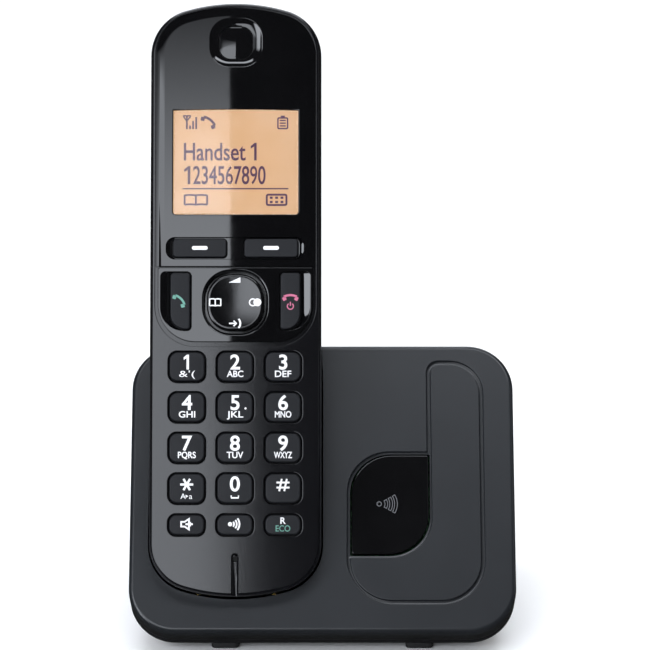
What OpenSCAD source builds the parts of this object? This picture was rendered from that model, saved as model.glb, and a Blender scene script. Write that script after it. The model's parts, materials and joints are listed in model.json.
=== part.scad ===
// Cordless telephone: a reclined handset standing in a sloping desk base.
// Millimetres, +Z up, the front faces -Y, origin under the middle of the footprint.
// Flat parts are drawn on two working planes: the base's sloping face and the handset's face.
// On both, X runs right, Y runs up the slope and Z points out of the face.

/* [Base] */
// Width of the base
base_w = 108; // [104:1:120]
// Length of the sloping face, measured up the slope
face_len = 84.4; // [82:0.2:92]
// How far the face leans back from vertical
base_recline = 35; // [34:0.5:36]
// Depth of the base on the desk
base_depth = 89; // [88:1:96]
// Radius of the face's four corners
base_corner_r = 13; // [10:0.5:14]
// Thickness of the sloping slab, square to the face
slab_t = 12; // [11.5:0.5:13]
// Thickness of the upper cover's share of the slab
top_cover_t = 8; // [7:0.5:8.5]
// Height of the rubber feet
foot_h = 1.8; // [1.6:0.1:2.2]

/* [Handset] */
// Width of the handset
handset_w = 48; // [47:0.5:49]
// Length of the handset
handset_len = 167; // [165:1:175]
// Thickness of the handset
handset_t = 27; // [26.5:0.1:27.5]
// How far the docked handset leans back from vertical
handset_recline = 21; // [20:0.5:22]
// Sideways place of the handset on the base
handset_x = -24.3; // [-25:0.1:-24]
// Distance up the face from its lower edge to the handset's lower end
handset_seat = 9; // [8.5:0.1:9.5]
// How far the handset's face stands proud of the base at its lower end
handset_proud = 4; // [3:0.1:4.5]

/* [Keys] */
// Width of a number key
key_w = 9.75; // [9:0.05:10.5]
// Height of a number key
key_h = 8; // [7.5:0.1:8.6]
// Spacing of the key columns
key_pitch_x = 13.35; // [12.5:0.05:13.6]
// Spacing of the key rows
key_pitch_y = 11.3; // [10.8:0.1:11.4]
// Height of the bottom number row above the handset's lower end
star_row = 30.1; // [29.5:0.1:30.5]
// Travel of the handset's keys
key_travel = 0.7; // [0.4:0.1:0.8]
// Gap around a key in its hole
key_gap = 0.35; // [0.25:0.05:0.4]

/* [Walls and gaps] */
// Wall of the base covers
wall = 2; // [1.8:0.1:2.2]
// Wall of the handset cases
case_wall = 1.8; // [1.6:0.1:2]
// Thickness of the handset's front wall
front_wall = 2.2; // [2:0.1:2.4]
// Thickness of the inlaid front panels
panel_t = 1.1; // [1:0.05:1.2]
// Play between the handset and its pocket
pocket_gap = 0.5; // [0.4:0.05:0.6]
// Wall of the pocket
liner = 1.5; // [1.2:0.1:1.5]

/* [Hidden] */
$fn = 48;
eps = 0.01;

// Where the two working planes lie
edge_roll = 1.5;
face_z = foot_h + slab_t * sin(base_recline);
front_y = edge_roll * (sin(base_recline) + cos(base_recline) - 1);
shift_y = -(front_y + base_depth) / 2;
seat_y = handset_seat * sin(base_recline) - handset_proud * cos(base_recline);
seat_z = face_z + handset_seat * cos(base_recline) + handset_proud * sin(base_recline);

// Handset layout, measured up from its lower end
half_w = handset_w / 2;
arch_h = 14.8;
arch_r = 13.2;
parting = -13;
front_roll = 2.4;
back_roll = 8;
panel_half = 22.3;
seam = 92;
groove_w = 1.3;
nav_bottom = 71;
nav_y = 82;
nav_w = 15.8;
soft_y = 97.25;
talk_x = 15.35;
ear_y = 155.4;
window_y = 122.15;
window_w = 35.2;
window_h = 30.1;
function_row = 20;
function_h = 5.4;
key_proud = 0.8;
flange_t = 1.15;
flange_top = -front_wall - 0.15;
pcb_t = 1.2;
pcb_front = -6.1;
membrane_top = flange_top - flange_t - key_travel - 0.15;
cell_r = 5.25;
cell_len = 44.5;
cell_x = 5.7;
cell_n = -19.9;
tray_low = 18;
tray_high = 67;
boss_x = 10;
boss_y = 71.6;
cover_low = 14;
cover_high = 76;
cover_w = 34;
cover_t = 1.6;
cover_travel = 3.5;
pad_x = 9;
pad_n = -18;

// Base layout, measured on the sloping face
key_left = 8.2;
key_right = 29.7;
key_low = 22.7;
key_high = 51.4;
key_corner = 11.3;
hole_gap = 1.15;
base_pcb_front = -8;
base_pcb_t = 1.6;
base_pcb_posts = [[8, 12], [30, 12], [8, 70], [30, 70]];
case_posts = [[-38, 37], [-6, 37], [40, 28], [38.5, 46]];
foot_x = 27.2;
foot_rows = [14, 80];
jack_z = 10.5;
dc_x = -12;
line_x = 12;
jack_wall_h = 20;

// Points of a closed outline whose corners [x, y, radius] are rounded with arcs
function unit(v) = v / norm(v);
function turn(a) = a > 180 ? a - 360 : (a < -180 ? a + 360 : a);
function corner_arc(before, corner, after, r, steps) =
  let (
    u = unit(before - corner),
    v = unit(after - corner),
    half = acos(u * v) / 2,
    centre = corner + unit(u + v) * r / sin(half),
    start = corner + u * r / tan(half) - centre,
    end = corner + v * r / tan(half) - centre,
    a0 = atan2(start.y, start.x),
    sweep = turn(atan2(end.y, end.x) - a0)
  )
  [for (i = [0:steps]) centre + r * [cos(a0 + sweep * i / steps), sin(a0 + sweep * i / steps)]];
function flat(c) = [c.x, c.y];
function rounded(corners, steps = 6) =
  let (count = len(corners))
  [for (i = [0:count - 1])
    let (c = corners[i], p = corners[(i + count - 1) % count], q = corners[(i + 1) % count])
    each (c.z <= 0 ? [flat(c)] : corner_arc(flat(p), flat(c), flat(q), c.z, steps))];
function box_outline(cx, cy, w, h, r, steps = 6) =
  rounded([
    [cx - w / 2, cy - h / 2, r], [cx + w / 2, cy - h / 2, r],
    [cx + w / 2, cy + h / 2, r], [cx - w / 2, cy + h / 2, r]
  ], steps);

// Three-centred arch that ends the handset: two corner arcs and one wide arc, inset evenly
arch_end_r = (arch_h * arch_h + pow(half_w - arch_r, 2) - arch_r * arch_r) / (2 * (arch_h - arch_r));
arch_turn = atan2(half_w - arch_r, arch_end_r - arch_h);
function arch_points(inset, side_steps = 7, end_steps = 8) = concat(
  [for (i = [0:side_steps])
    let (a = 180 + (90 - arch_turn) * i / side_steps)
    [-(half_w - arch_r), arch_h] + (arch_r - inset) * [cos(a), sin(a)]],
  [for (i = [1:end_steps - 1])
    let (a = 270 - arch_turn + 2 * arch_turn * i / end_steps)
    [0, arch_end_r] + (arch_end_r - inset) * [cos(a), sin(a)]],
  [for (i = [0:side_steps])
    let (a = 270 + arch_turn + (90 - arch_turn) * i / side_steps)
    [half_w - arch_r, arch_h] + (arch_r - inset) * [cos(a), sin(a)]]
);
function upside_down(points) = [for (p = points) [-p.x, handset_len - p.y]];
function handset_outline(inset) = concat(arch_points(inset), upside_down(arch_points(inset)));
function pocket_outline(grow) = concat(
  arch_points(-grow), [[half_w + grow, handset_len], [-half_w - grow, handset_len]]
);

function slab_outline(inset) =
  box_outline(0, face_len / 2, base_w - 2 * inset, face_len - 2 * inset, base_corner_r - inset, 8);

// The locator key's leaf outline: two large round corners, two sharp ones
function leaf_outline(grow) = rounded([
  [key_left - grow, key_low - grow, 0],
  [key_right + grow, key_low - grow, key_corner + grow / 2],
  [key_right + grow, key_high + grow, 0],
  [key_left - grow, key_high + grow, key_corner + grow / 2]
], 8);
// The decorative groove that runs up from the key, over, down and back under it
function hook_outline(grow) = rounded([
  [key_right + 0.3 - grow, key_high, 0],
  [key_left - 0.95 - grow, key_low - 0.8, 0],
  [key_left - 0.95 - grow, 8.7 - grow, 13 + grow],
  [44.9 + grow, 8.7 - grow, 12 + grow],
  [44.9 + grow, 79 + grow, 9 + grow],
  [key_right + 0.3 - grow, 79 + grow, 3 + grow]
], 8);

module prism(points, low, high) {
  translate([0, 0, low]) linear_extrude(high - low) polygon(points);
}
module on_face() {
  translate([0, shift_y, face_z]) rotate([90 - base_recline, 0, 0]) children();
}
module on_handset() {
  translate([handset_x, shift_y + seat_y, seat_z]) rotate([90 - handset_recline, 0, 0]) children();
}
// A cylinder along the handset's length, from low to high
module lengthwise(x, n, r, low, high) {
  translate([x, low, n]) rotate([-90, 0, 0]) cylinder(r = r, h = high - low);
}

// ---- Base ----

module rolled_slab() {
  hull() {
    prism(slab_outline(0), -top_cover_t, -edge_roll);
    for (a = [27.5, 90 - base_recline, 72.5, 90])
      prism(slab_outline(edge_roll * (1 - cos(a))), -edge_roll, -edge_roll * (1 - sin(a)));
  }
}
// Space swept by the handset's body, grown by a margin, open at the top
module pocket_space(grow) {
  depth = handset_t - back_roll;
  hull() {
    prism(pocket_outline(grow), -depth - grow, 30);
    for (a = [30, 60, 90])
      prism(
        pocket_outline(grow - (back_roll + grow) * (1 - cos(a))),
        -depth - (back_roll + grow) * sin(a), -depth
      );
  }
}
module case_post_at(p) {
  translate([p.x, p.y + shift_y, 0]) children();
}

module base_top_cover() {
  color("#3a3b3e") difference() {
    union() {
      on_face() difference() {
        rolled_slab();
        prism(slab_outline(wall), -top_cover_t - 1, -wall);
      }
      intersection() {
        on_handset() pocket_space(pocket_gap + liner);
        on_face() prism(slab_outline(0.5), -slab_t - 24, -wall);
        translate([-base_w, -base_w, foot_h + wall + 0.5]) cube([2 * base_w, 2 * base_w, base_w]);
      }
      on_face() for (p = base_pcb_posts)
        translate([p.x, p.y, base_pcb_front]) cylinder(r = 2.2, h = -wall - base_pcb_front + eps);
      intersection() {
        for (p = case_posts) case_post_at(p) translate([0, 0, 6]) cylinder(r = 3, h = 70);
        on_face() prism(slab_outline(1), -60, -wall + eps);
      }
    }
    on_handset() pocket_space(pocket_gap);
    on_face() {
      prism(leaf_outline(hole_gap), -wall - 1, 1);
      difference() {
        prism(hook_outline(0.6), -0.5, 1);
        prism(hook_outline(-0.6), -1, 2);
      }
      for (p = base_pcb_posts) translate([p.x, p.y, base_pcb_front - 1]) cylinder(r = 1.1, h = 5);
    }
    for (p = case_posts) case_post_at(p) translate([0, 0, 5]) cylinder(r = 1.45, h = 10);
    on_handset() for (side = [-1, 1])
      translate([side * pad_x, 0, pad_n]) cube([3.8, 12, 1.6], center = true);
  }
}

// Body of the lower cover: blends the slab's back into a narrower footprint with an upright back wall
module lower_body(inset) {
  hull() {
    on_face() prism(slab_outline(1 + inset), -slab_t - 0.4 - inset / 4, -slab_t + 1);
    translate([0, shift_y, foot_h + inset])
      prism(rounded([
        [-48 + inset, 10.6 + inset, 16], [48 - inset, 10.6 + inset, 16],
        [42 - inset, base_depth - inset, 10], [-42 + inset, base_depth - inset, 10]
      ]), 0, 0.4);
    translate([0, shift_y, foot_h + inset])
      prism(box_outline(0, base_depth - 12 - inset, 84 - 2 * inset, 24, 10), 0, jack_wall_h - 2 * inset);
  }
}
module base_bottom_cover() {
  color("#2e2f31") difference() {
    union() {
      difference() {
        union() {
          on_face() prism(slab_outline(0), -slab_t, -top_cover_t);
          lower_body(0);
        }
        on_face() prism(slab_outline(wall), -slab_t - 0.3, -top_cover_t + 1);
        lower_body(wall);
      }
      translate([dc_x, shift_y + base_depth - 1, jack_z]) rotate([90, 0, 0]) cylinder(r = 6, h = 4);
      for (p = case_posts) case_post_at(p) translate([0, 0, foot_h + 0.5]) cylinder(r = 4.2, h = 3.6);
    }
    translate([dc_x, shift_y + base_depth + 1, jack_z]) rotate([90, 0, 0]) cylinder(r = 4.5, h = 6);
    translate([line_x - 6.85, shift_y + base_depth - 4, jack_z - 6.65]) cube([13.7, 8, 13.35]);
    for (p = case_posts) case_post_at(p) {
      translate([0, 0, -1]) cylinder(r = 3, h = 4 + foot_h);
      cylinder(r = 1.6, h = 12);
    }
  }
}
module base_feet() {
  color("#1b1b1c") for (x = [-foot_x, foot_x], y = foot_rows)
    translate([0, shift_y, 0]) prism(box_outline(x, y, 7.8, 7, 1.5), 0, foot_h);
}
module base_screws() {
  color("silver") for (p = case_posts) case_post_at(p) translate([0, 0, foot_h + 1.1]) difference() {
    union() {
      cylinder(r = 2.6, h = 1.8);
      cylinder(r = 1.35, h = 11);
    }
    for (a = [0, 90]) rotate([0, 0, a]) cube([2.8, 0.6, 1.6], center = true);
  }
}
module base_pcb() {
  color("darkgreen") on_face() difference() {
    prism(box_outline(19, 42, 30, 68, 1.5), base_pcb_front - base_pcb_t, base_pcb_front - eps);
    for (p = base_pcb_posts) translate([p.x, p.y, base_pcb_front - 3]) cylinder(r = 1.6, h = 4);
  }
}
module base_pcb_screws() {
  color("silver") on_face() for (p = base_pcb_posts)
    translate([p.x, p.y, base_pcb_front - base_pcb_t]) difference() {
      union() {
        translate([0, 0, -1.2]) cylinder(r = 2.1, h = 1.2);
        cylinder(r = 1, h = 5);
      }
      for (a = [0, 90]) translate([0, 0, -1.2]) rotate([0, 0, a]) cube([2.4, 0.5, 1], center = true);
    }
}
module base_rf_shield() {
  color("lightgray") on_face() difference() {
    prism(box_outline(19, 54, 18, 20, 1), base_pcb_front - base_pcb_t - 2.6, base_pcb_front - base_pcb_t);
    prism(box_outline(19, 54, 17.4, 19.4, 0.8), base_pcb_front - base_pcb_t - 2.3, base_pcb_front);
  }
}
// Two stamped strips, each on two legs at the top of the board
module base_antennas() {
  color("gold") on_face() for (x = [7, 22]) {
    translate([x, 73.6, base_pcb_front + 2.4]) cube([11, 1.8, 0.4]);
    for (leg = [0, 10.2]) translate([x + leg, 74.2, base_pcb_front]) cube([0.8, 0.6, 2.4]);
  }
}
module base_capacitors() {
  color("#26384f") on_face() for (x = [12, 20, 28])
    translate([x, 19, base_pcb_front - base_pcb_t - 8]) cylinder(r = 2.5, h = 8);
}
// Two sprung blades that reach up through the floor of the pocket
module charge_contacts() {
  color("gold") on_handset() for (side = [-1, 1]) translate([side * pad_x, 0, pad_n]) {
    translate([-1.5, -4.4, -0.25]) cube([3, 4.5, 0.5]);
    translate([-1.5, 0.1, 0]) rotate([0, 90, 0]) cylinder(r = 0.5, h = 3);
    translate([-1.5, -4.4, -4.5]) cube([3, 0.5, 4.5]);
  }
}
module dc_jack() {
  color("#161617") translate([dc_x, shift_y + base_depth - 5, jack_z]) difference() {
    union() {
      translate([-4.8, -13, -6]) cube([9.6, 13 - eps, 10.5]);
      rotate([90, 0, 0]) cylinder(r = 4.6, h = 10);
    }
    difference() {
      translate([0, 1, 0]) rotate([90, 0, 0]) cylinder(r = 3, h = 11);
      translate([0, -1, 0]) rotate([90, 0, 0]) cylinder(r = 0.8, h = 12);
    }
  }
}
module line_jack() {
  color("#1c1c1e") translate([line_x, shift_y + base_depth - 0.3, jack_z]) difference() {
    translate([-6.75, -15, -6.6]) cube([13.5, 15, 13.2]);
    translate([-4.9, -11, -3.3]) cube([9.8, 12, 6.8]);
    translate([-3.1, -11, -4.9]) cube([6.2, 12, 2]);
    translate([-1.6, -11, -5.9]) cube([3.2, 12, 2]);
  }
}
module locator_switch() {
  color("dimgray") on_face() translate([19, 37, base_pcb_front]) {
    prism(box_outline(0, 0, 6, 6, 0.4), 0, 3.5);
    translate([0, 0, 3.5 - eps]) cylinder(r = 1.7, h = 0.6);
  }
}
module locator_key() {
  color("#101011") on_face() {
    prism(leaf_outline(0), -1.8, -0.3);
    prism(leaf_outline(-0.4), -0.3 - eps, 0.1);
    translate([19, 37, -3.2]) cylinder(r = 2, h = 1.5);
  }
}

// ---- Handset ----

module handset_front_shell() {
  hull() {
    prism(handset_outline(0), parting, -front_roll);
    for (a = [35, 65, 90])
      prism(handset_outline(front_roll * (1 - cos(a))), -front_roll, -front_roll * (1 - sin(a)));
  }
}
module handset_rear_shell() {
  depth = handset_t - back_roll;
  hull() {
    prism(handset_outline(0), -depth, parting);
    for (a = [30, 60, 90])
      prism(handset_outline(back_roll * (1 - cos(a))), -depth - back_roll * sin(a), -depth);
  }
}
function digit_x(col) = (col - 1) * key_pitch_x;
function digit_y(row) = star_row + (3 - row) * key_pitch_y;
function digit_outline(grow) = box_outline(0, 0, key_w + 2 * grow, key_h + 2 * grow, 2.2 + grow, 5);
function function_outline(grow) = box_outline(0, 0, key_w + 2 * grow, function_h + 2 * grow, 2 + grow, 5);
function nav_outline(grow) =
  box_outline(0, nav_y, nav_w + 2 * grow, nav_w + 2 * grow, nav_w * 0.42 + grow, 8);
// A call key, narrowed by a round lower corner on its outer side; side is -1 on the left, 1 on the right
function call_outline(side, grow, reach = 0) =
  let (points = rounded([
    [-2.75 - reach - grow, -7.9 - grow, 4.2 + grow + reach / 2], [2.75 + grow, -7.9 - grow, 0.9 + grow],
    [2.75 + grow, 7.9 + grow, 1 + grow], [-2.75 - reach - grow, 7.9 + grow, 1 + grow]
  ], 5))
  [for (p = points) [side * (talk_x - p.x), p.y + nav_y + 0.4]];
function soft_outline(side, grow) =
  box_outline(side * 9.95, soft_y, 14.9 + 2 * grow, 5.1 + 2 * grow, 1 + grow, 4);
function bezel_outline(inset) = concat(
  [[-panel_half + inset, seam + inset], [panel_half - inset, seam + inset]],
  upside_down(arch_points(half_w - panel_half + inset))
);
function nav_panel_outline(grow) = rounded([
  [-21.6 - grow, nav_bottom - grow, 10.5 + grow], [21.6 + grow, nav_bottom - grow, 10.5 + grow],
  [21.6 + grow, seam - 0.15, 0], [-21.6 - grow, seam - 0.15, 0]
], 8);

module handset_front_case() {
  color("#333437") on_handset() difference() {
    union() {
      difference() {
        handset_front_shell();
        prism(handset_outline(case_wall), parting - 1, -front_wall);
      }
      for (side = [-1, 1]) translate([side * boss_x, boss_y, parting]) cylinder(r = 2.4, h = 11);
    }
    prism(bezel_outline(-0.1), -panel_t, 1);
    prism(nav_panel_outline(groove_w), -panel_t * 0.6, 1);
    prism(nav_panel_outline(0.1), -panel_t, 1);
    prism(box_outline(0, window_y, 37.6, 32.6, 1), -front_wall - 1, 1);
    prism(box_outline(0, ear_y, 9.8, 9.7, 3.4), -front_wall - 1, 1);
    for (col = [0:2], row = [0:3]) translate([digit_x(col), digit_y(row), 0])
      prism(digit_outline(key_gap), -front_wall - 1, 1);
    for (col = [0:2]) translate([digit_x(col), function_row, 0])
      prism(function_outline(key_gap), -front_wall - 1, 1);
    prism(nav_outline(0.7), -front_wall - 1, 1);
    for (side = [-1, 1]) {
      prism(call_outline(side, key_gap), -front_wall - 1, 1);
      prism(soft_outline(side, key_gap), -front_wall - 1, 1);
      translate([side * boss_x, boss_y, parting - 1]) cylinder(r = 1.1, h = 9);
    }
    prism(box_outline(0, 5.2, 2.4, 14, 1), -1.4, 1);
    translate([0, 10.6, -front_wall - 1]) cylinder(r = 0.9, h = 4);
  }
}
module handset_rear_case() {
  color("#28292b") on_handset() difference() {
    union() {
      difference() {
        handset_rear_shell();
        hull() {
          prism(handset_outline(case_wall), -handset_t + back_roll, parting + 1);
          prism(handset_outline(case_wall + 2), -handset_t + 4, parting);
          prism(handset_outline(back_roll), -handset_t + case_wall, parting);
        }
      }
      prism(box_outline(0, (tray_low + tray_high) / 2, 26.4, tray_high - tray_low + 2.4, 1),
        -handset_t + 1, parting - 0.2);
      for (side = [-1, 1]) translate([side * boss_x, boss_y, -handset_t + 1])
        cylinder(r = 3.3, h = handset_t - 1 + parting);
    }
    prism(box_outline(0, (tray_low + tray_high) / 2, 24, tray_high - tray_low, 0.5),
      -handset_t - 1, parting - 1.4);
    prism(box_outline(0, (cover_low + cover_high - cover_travel) / 2,
      cover_w + 0.5, cover_high - cover_low + cover_travel + 0.5, 4), -handset_t - 1, -handset_t + cover_t);
    for (side = [-1, 1]) {
      translate([side * boss_x, boss_y, -handset_t]) cylinder(r = 2.5, h = 8);
      translate([side * boss_x, boss_y, -handset_t]) cylinder(r = 1.3, h = handset_t);
      translate([side * pad_x, 0, pad_n]) cube([4.2, 9, 4.2], center = true);
    }
    for (i = [-3:3]) prism(box_outline(0, 130 + 2.4 * i, 14 - 1.1 * abs(i), 1.1, 0.5), -handset_t - 1, -20);
  }
}
module battery_cover() {
  color("#28292b") on_handset() difference() {
    prism(box_outline(0, (cover_low + cover_high) / 2, cover_w, cover_high - cover_low, 4),
      -handset_t, -handset_t + cover_t - 0.1);
    for (i = [0:4]) translate([-5, cover_high - 14 + 1.6 * i, -handset_t - 0.3]) cube([10, 0.8, 0.8]);
  }
}
module display_bezel() {
  color("#0d0d0e") on_handset() difference() {
    prism(bezel_outline(0.05), -panel_t, 0);
    prism(box_outline(0, window_y, window_w, window_h, 0.8), -panel_t - 1, 1);
    prism(box_outline(0, soft_y, 39.4, 5.9, 2.6), -0.6, 1);
    prism(box_outline(0, ear_y, 14.9, 13.9, 5.6), -0.7, 1);
    prism(box_outline(0, ear_y, 9.8, 9.7, 3.4), -panel_t - 1, 1);
    for (side = [-1, 1]) prism(soft_outline(side, key_gap), -panel_t - 1, 1);
  }
}
module display_lens() {
  color("#c8b49a", 0.4) on_handset()
    prism(box_outline(0, window_y, window_w - 0.2, window_h - 0.2, 0.7), -0.9, -0.25);
}
module lcd_module() {
  color("#e0b890") on_handset() prism(box_outline(0, window_y, 37.2, 32.2, 0.8), -3.4, -1.15);
}
module lcd_holder() {
  color("whitesmoke") on_handset() difference() {
    prism(box_outline(0, window_y, 40, 36, 1.5), pcb_front + 0.05, -2.3);
    prism(box_outline(0, window_y, 37.4, 32.4, 0.8), -3.45, 0);
  }
}
module nav_panel() {
  color("#0d0d0e") on_handset() difference() {
    prism(nav_panel_outline(0), -panel_t, 0);
    prism(nav_outline(1.9), -0.5, 1);
    prism(nav_outline(0.7), -panel_t - 1, 1);
    for (side = [-1, 1]) {
      prism(call_outline(side, 0.4, 2.4), -0.7, 1);
      prism(call_outline(side, key_gap), -panel_t - 1, 1);
    }
  }
}
module receiver_cap() {
  color("#121213") on_handset() {
    prism(box_outline(0, ear_y, 9, 8.9, 3), -2.6, 0.15);
    translate([-6.5, ear_y - 1.2, -2.6]) cube([13, 2.4, 0.35]);
  }
}
module boss_holes(low, high) {
  for (side = [-1, 1]) translate([side * boss_x, boss_y, low]) cylinder(r = 2.7, h = high - low);
}
module keypad_membrane() {
  color("#1d1d20") on_handset() difference() {
    prism(box_outline(0, 58, 40, 90, 3), membrane_top - 0.8, membrane_top);
    boss_holes(-9, 0);
  }
}
module key_domes() {
  color("silver") on_handset() {
    for (col = [0:2], row = [0:3])
      translate([digit_x(col), digit_y(row), pcb_front]) cylinder(r = 2.5, h = 0.5);
    for (col = [0:2]) translate([digit_x(col), function_row, pcb_front]) cylinder(r = 2.5, h = 0.5);
    for (side = [-1, 1]) {
      translate([side * talk_x, nav_y, pcb_front]) cylinder(r = 2.5, h = 0.5);
      translate([side * 9.95, soft_y, pcb_front]) cylinder(r = 2.5, h = 0.5);
      translate([side * 5.4, nav_y, pcb_front]) cylinder(r = 2, h = 0.5);
      translate([0, nav_y + side * 5.4, pcb_front]) cylinder(r = 2, h = 0.5);
    }
  }
}
module handset_pcb() {
  color("darkgreen") on_handset() difference() {
    prism(box_outline(0, 80, 40, 143, 10), pcb_front - pcb_t, pcb_front - eps);
    boss_holes(-12, 0);
  }
}
module handset_rf_shield() {
  color("lightgray") on_handset() difference() {
    prism(box_outline(0, 100, 30, 26, 1), pcb_front - pcb_t - 2.6, pcb_front - pcb_t - eps);
    prism(box_outline(0, 100, 29.4, 25.4, 0.8), pcb_front - pcb_t - 2.3, pcb_front);
  }
}
module receiver_speaker() {
  color("#4a4a4c") on_handset() translate([0, ear_y - 1.5, 0]) {
    translate([0, 0, pcb_front + 0.1]) cylinder(r = 6.6, h = 3.3);
    translate([0, 0, pcb_front + 3.4 - eps]) cylinder(r = 2.5, h = 0.05);
  }
}
module ringer_speaker() {
  color("#4a4a4c") on_handset() translate([0, 130, -handset_t + case_wall + 0.1]) {
    cylinder(r = 10, h = 2.4);
    translate([0, 0, 2.4 - eps]) cylinder(r = 6, h = 2.6);
  }
}
module microphone() {
  color("silver") on_handset() translate([0, 10.6, pcb_front]) cylinder(r = 2, h = 3.7);
}
module cell(x, low) {
  lengthwise(x, cell_n, cell_r, low, low + cell_len - 1);
  lengthwise(x, cell_n, 1.9, low + cell_len - 1 - eps, low + cell_len);
}
module battery_left() {
  color("#b9bcc0") on_handset() cell(-cell_x, tray_low + 4);
}
module battery_right() {
  color("#b9bcc0") on_handset() mirror([0, 1, 0])
    translate([0, -(tray_low + tray_high), 0]) cell(cell_x, tray_low + 4);
}
// Conical contact coils, each made of touching turns that shrink towards the cell
module contact_coil() {
  for (i = [0:4])
    translate([0, 0, 0.4 + 0.6 * i]) rotate_extrude() translate([3.6 - 0.45 * i, 0]) circle(0.4, $fn = 16);
}
module battery_springs() {
  color("silver") on_handset() {
    translate([-cell_x, tray_low + 0.1, cell_n]) rotate([-90, 0, 0]) contact_coil();
    translate([cell_x, tray_high - 0.1, cell_n]) rotate([90, 0, 0]) contact_coil();
  }
}
module battery_plates() {
  color("silver") on_handset() {
    translate([-cell_x - 3.5, tray_high - 0.45, cell_n - 3.5]) cube([7, 0.4, 7]);
    translate([cell_x - 3.5, tray_low + 0.05, cell_n - 3.5]) cube([7, 0.4, 7]);
  }
}
module charge_pads() {
  color("gold") on_handset() for (side = [-1, 1])
    translate([side * pad_x - 2, 1, pad_n - 2]) cube([4, 3.4, 4]);
}
module handset_screws() {
  color("silver") on_handset() for (side = [-1, 1])
    translate([side * boss_x, boss_y, -handset_t + 8]) difference() {
      union() {
        mirror([0, 0, 1]) cylinder(r = 2.2, h = 1.4);
        cylinder(r = 1, h = 12.5);
      }
      for (a = [0, 90]) translate([0, 0, -1.4]) rotate([0, 0, a]) cube([2.4, 0.5, 1.2], center = true);
    }
}

// A key cap in its hole with a retaining flange behind the wall
module key_cap(top, body, base) {
  prism(body, flange_top - eps, key_proud - 0.35);
  prism(top, key_proud - 0.35 - eps, key_proud);
  prism(base, flange_top - flange_t, flange_top);
}
module digit_key(col, row) {
  color("#2b2c2f") on_handset() translate([digit_x(col), digit_y(row), 0])
    key_cap(digit_outline(-0.4), digit_outline(0), digit_outline(0.6));
}
module function_key(col) {
  color("#2b2c2f") on_handset() translate([digit_x(col), function_row, 0])
    key_cap(function_outline(-0.4), function_outline(0), function_outline(0.6));
}
module call_key(side) {
  color("#2b2c2f") on_handset()
    key_cap(call_outline(side, -0.4), call_outline(side, 0), call_outline(side, 0.6));
}
module soft_key(side) {
  color("#2b2c2f") on_handset()
    key_cap(soft_outline(side, -0.4), soft_outline(side, 0), soft_outline(side, 0.6));
}
// The rocker is held on a central pivot, so its flange sits lower to leave room to tilt
module nav_key() {
  color("#0b0b0c") on_handset() {
    prism(nav_outline(0), -3.1, 0.5);
    prism(nav_outline(-0.5), 0.5 - eps, 0.9);
    prism(nav_outline(0.9), -3.5, -2.95);
  }
}
module nav_pivot() {
  color("#1d1d20") on_handset() translate([0, nav_y, -4.2]) cylinder(r = 1.6, h = 0.6);
}

base_top_cover();
base_bottom_cover();
base_feet();
base_screws();
base_pcb();
base_pcb_screws();
base_rf_shield();
base_antennas();
base_capacitors();
charge_contacts();
dc_jack();
line_jack();
locator_switch();
locator_key();
handset_front_case();
handset_rear_case();
display_bezel();
display_lens();
lcd_module();
lcd_holder();
nav_panel();
receiver_cap();
keypad_membrane();
key_domes();
handset_pcb();
handset_rf_shield();
receiver_speaker();
ringer_speaker();
microphone();
battery_left();
battery_right();
battery_springs();
battery_plates();
charge_pads();
handset_screws();
nav_pivot();
nav_key();
call_key(-1);  // talk_key
call_key(1);  // end_key
soft_key(-1);  // soft_key_left
soft_key(1);  // soft_key_right
digit_key(0, 0);  // key_1
digit_key(1, 0);  // key_2
digit_key(2, 0);  // key_3
digit_key(0, 1);  // key_4
digit_key(1, 1);  // key_5
digit_key(2, 1);  // key_6
digit_key(0, 2);  // key_7
digit_key(1, 2);  // key_8
digit_key(2, 2);  // key_9
digit_key(0, 3);  // key_star
digit_key(1, 3);  // key_0
digit_key(2, 3);  // key_hash
function_key(0);  // key_speaker
function_key(1);  // key_intercom
function_key(2);  // key_recall
battery_cover();
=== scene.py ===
"""Cordless telephone in its desk base: visible surfaces, finishes, light and camera.

Outlines are in millimetres on two working planes, the handset's face and the base's sloping face.
On both, X runs right, Y runs up the slope and Z, called n here, points out of the face.
"""

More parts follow.
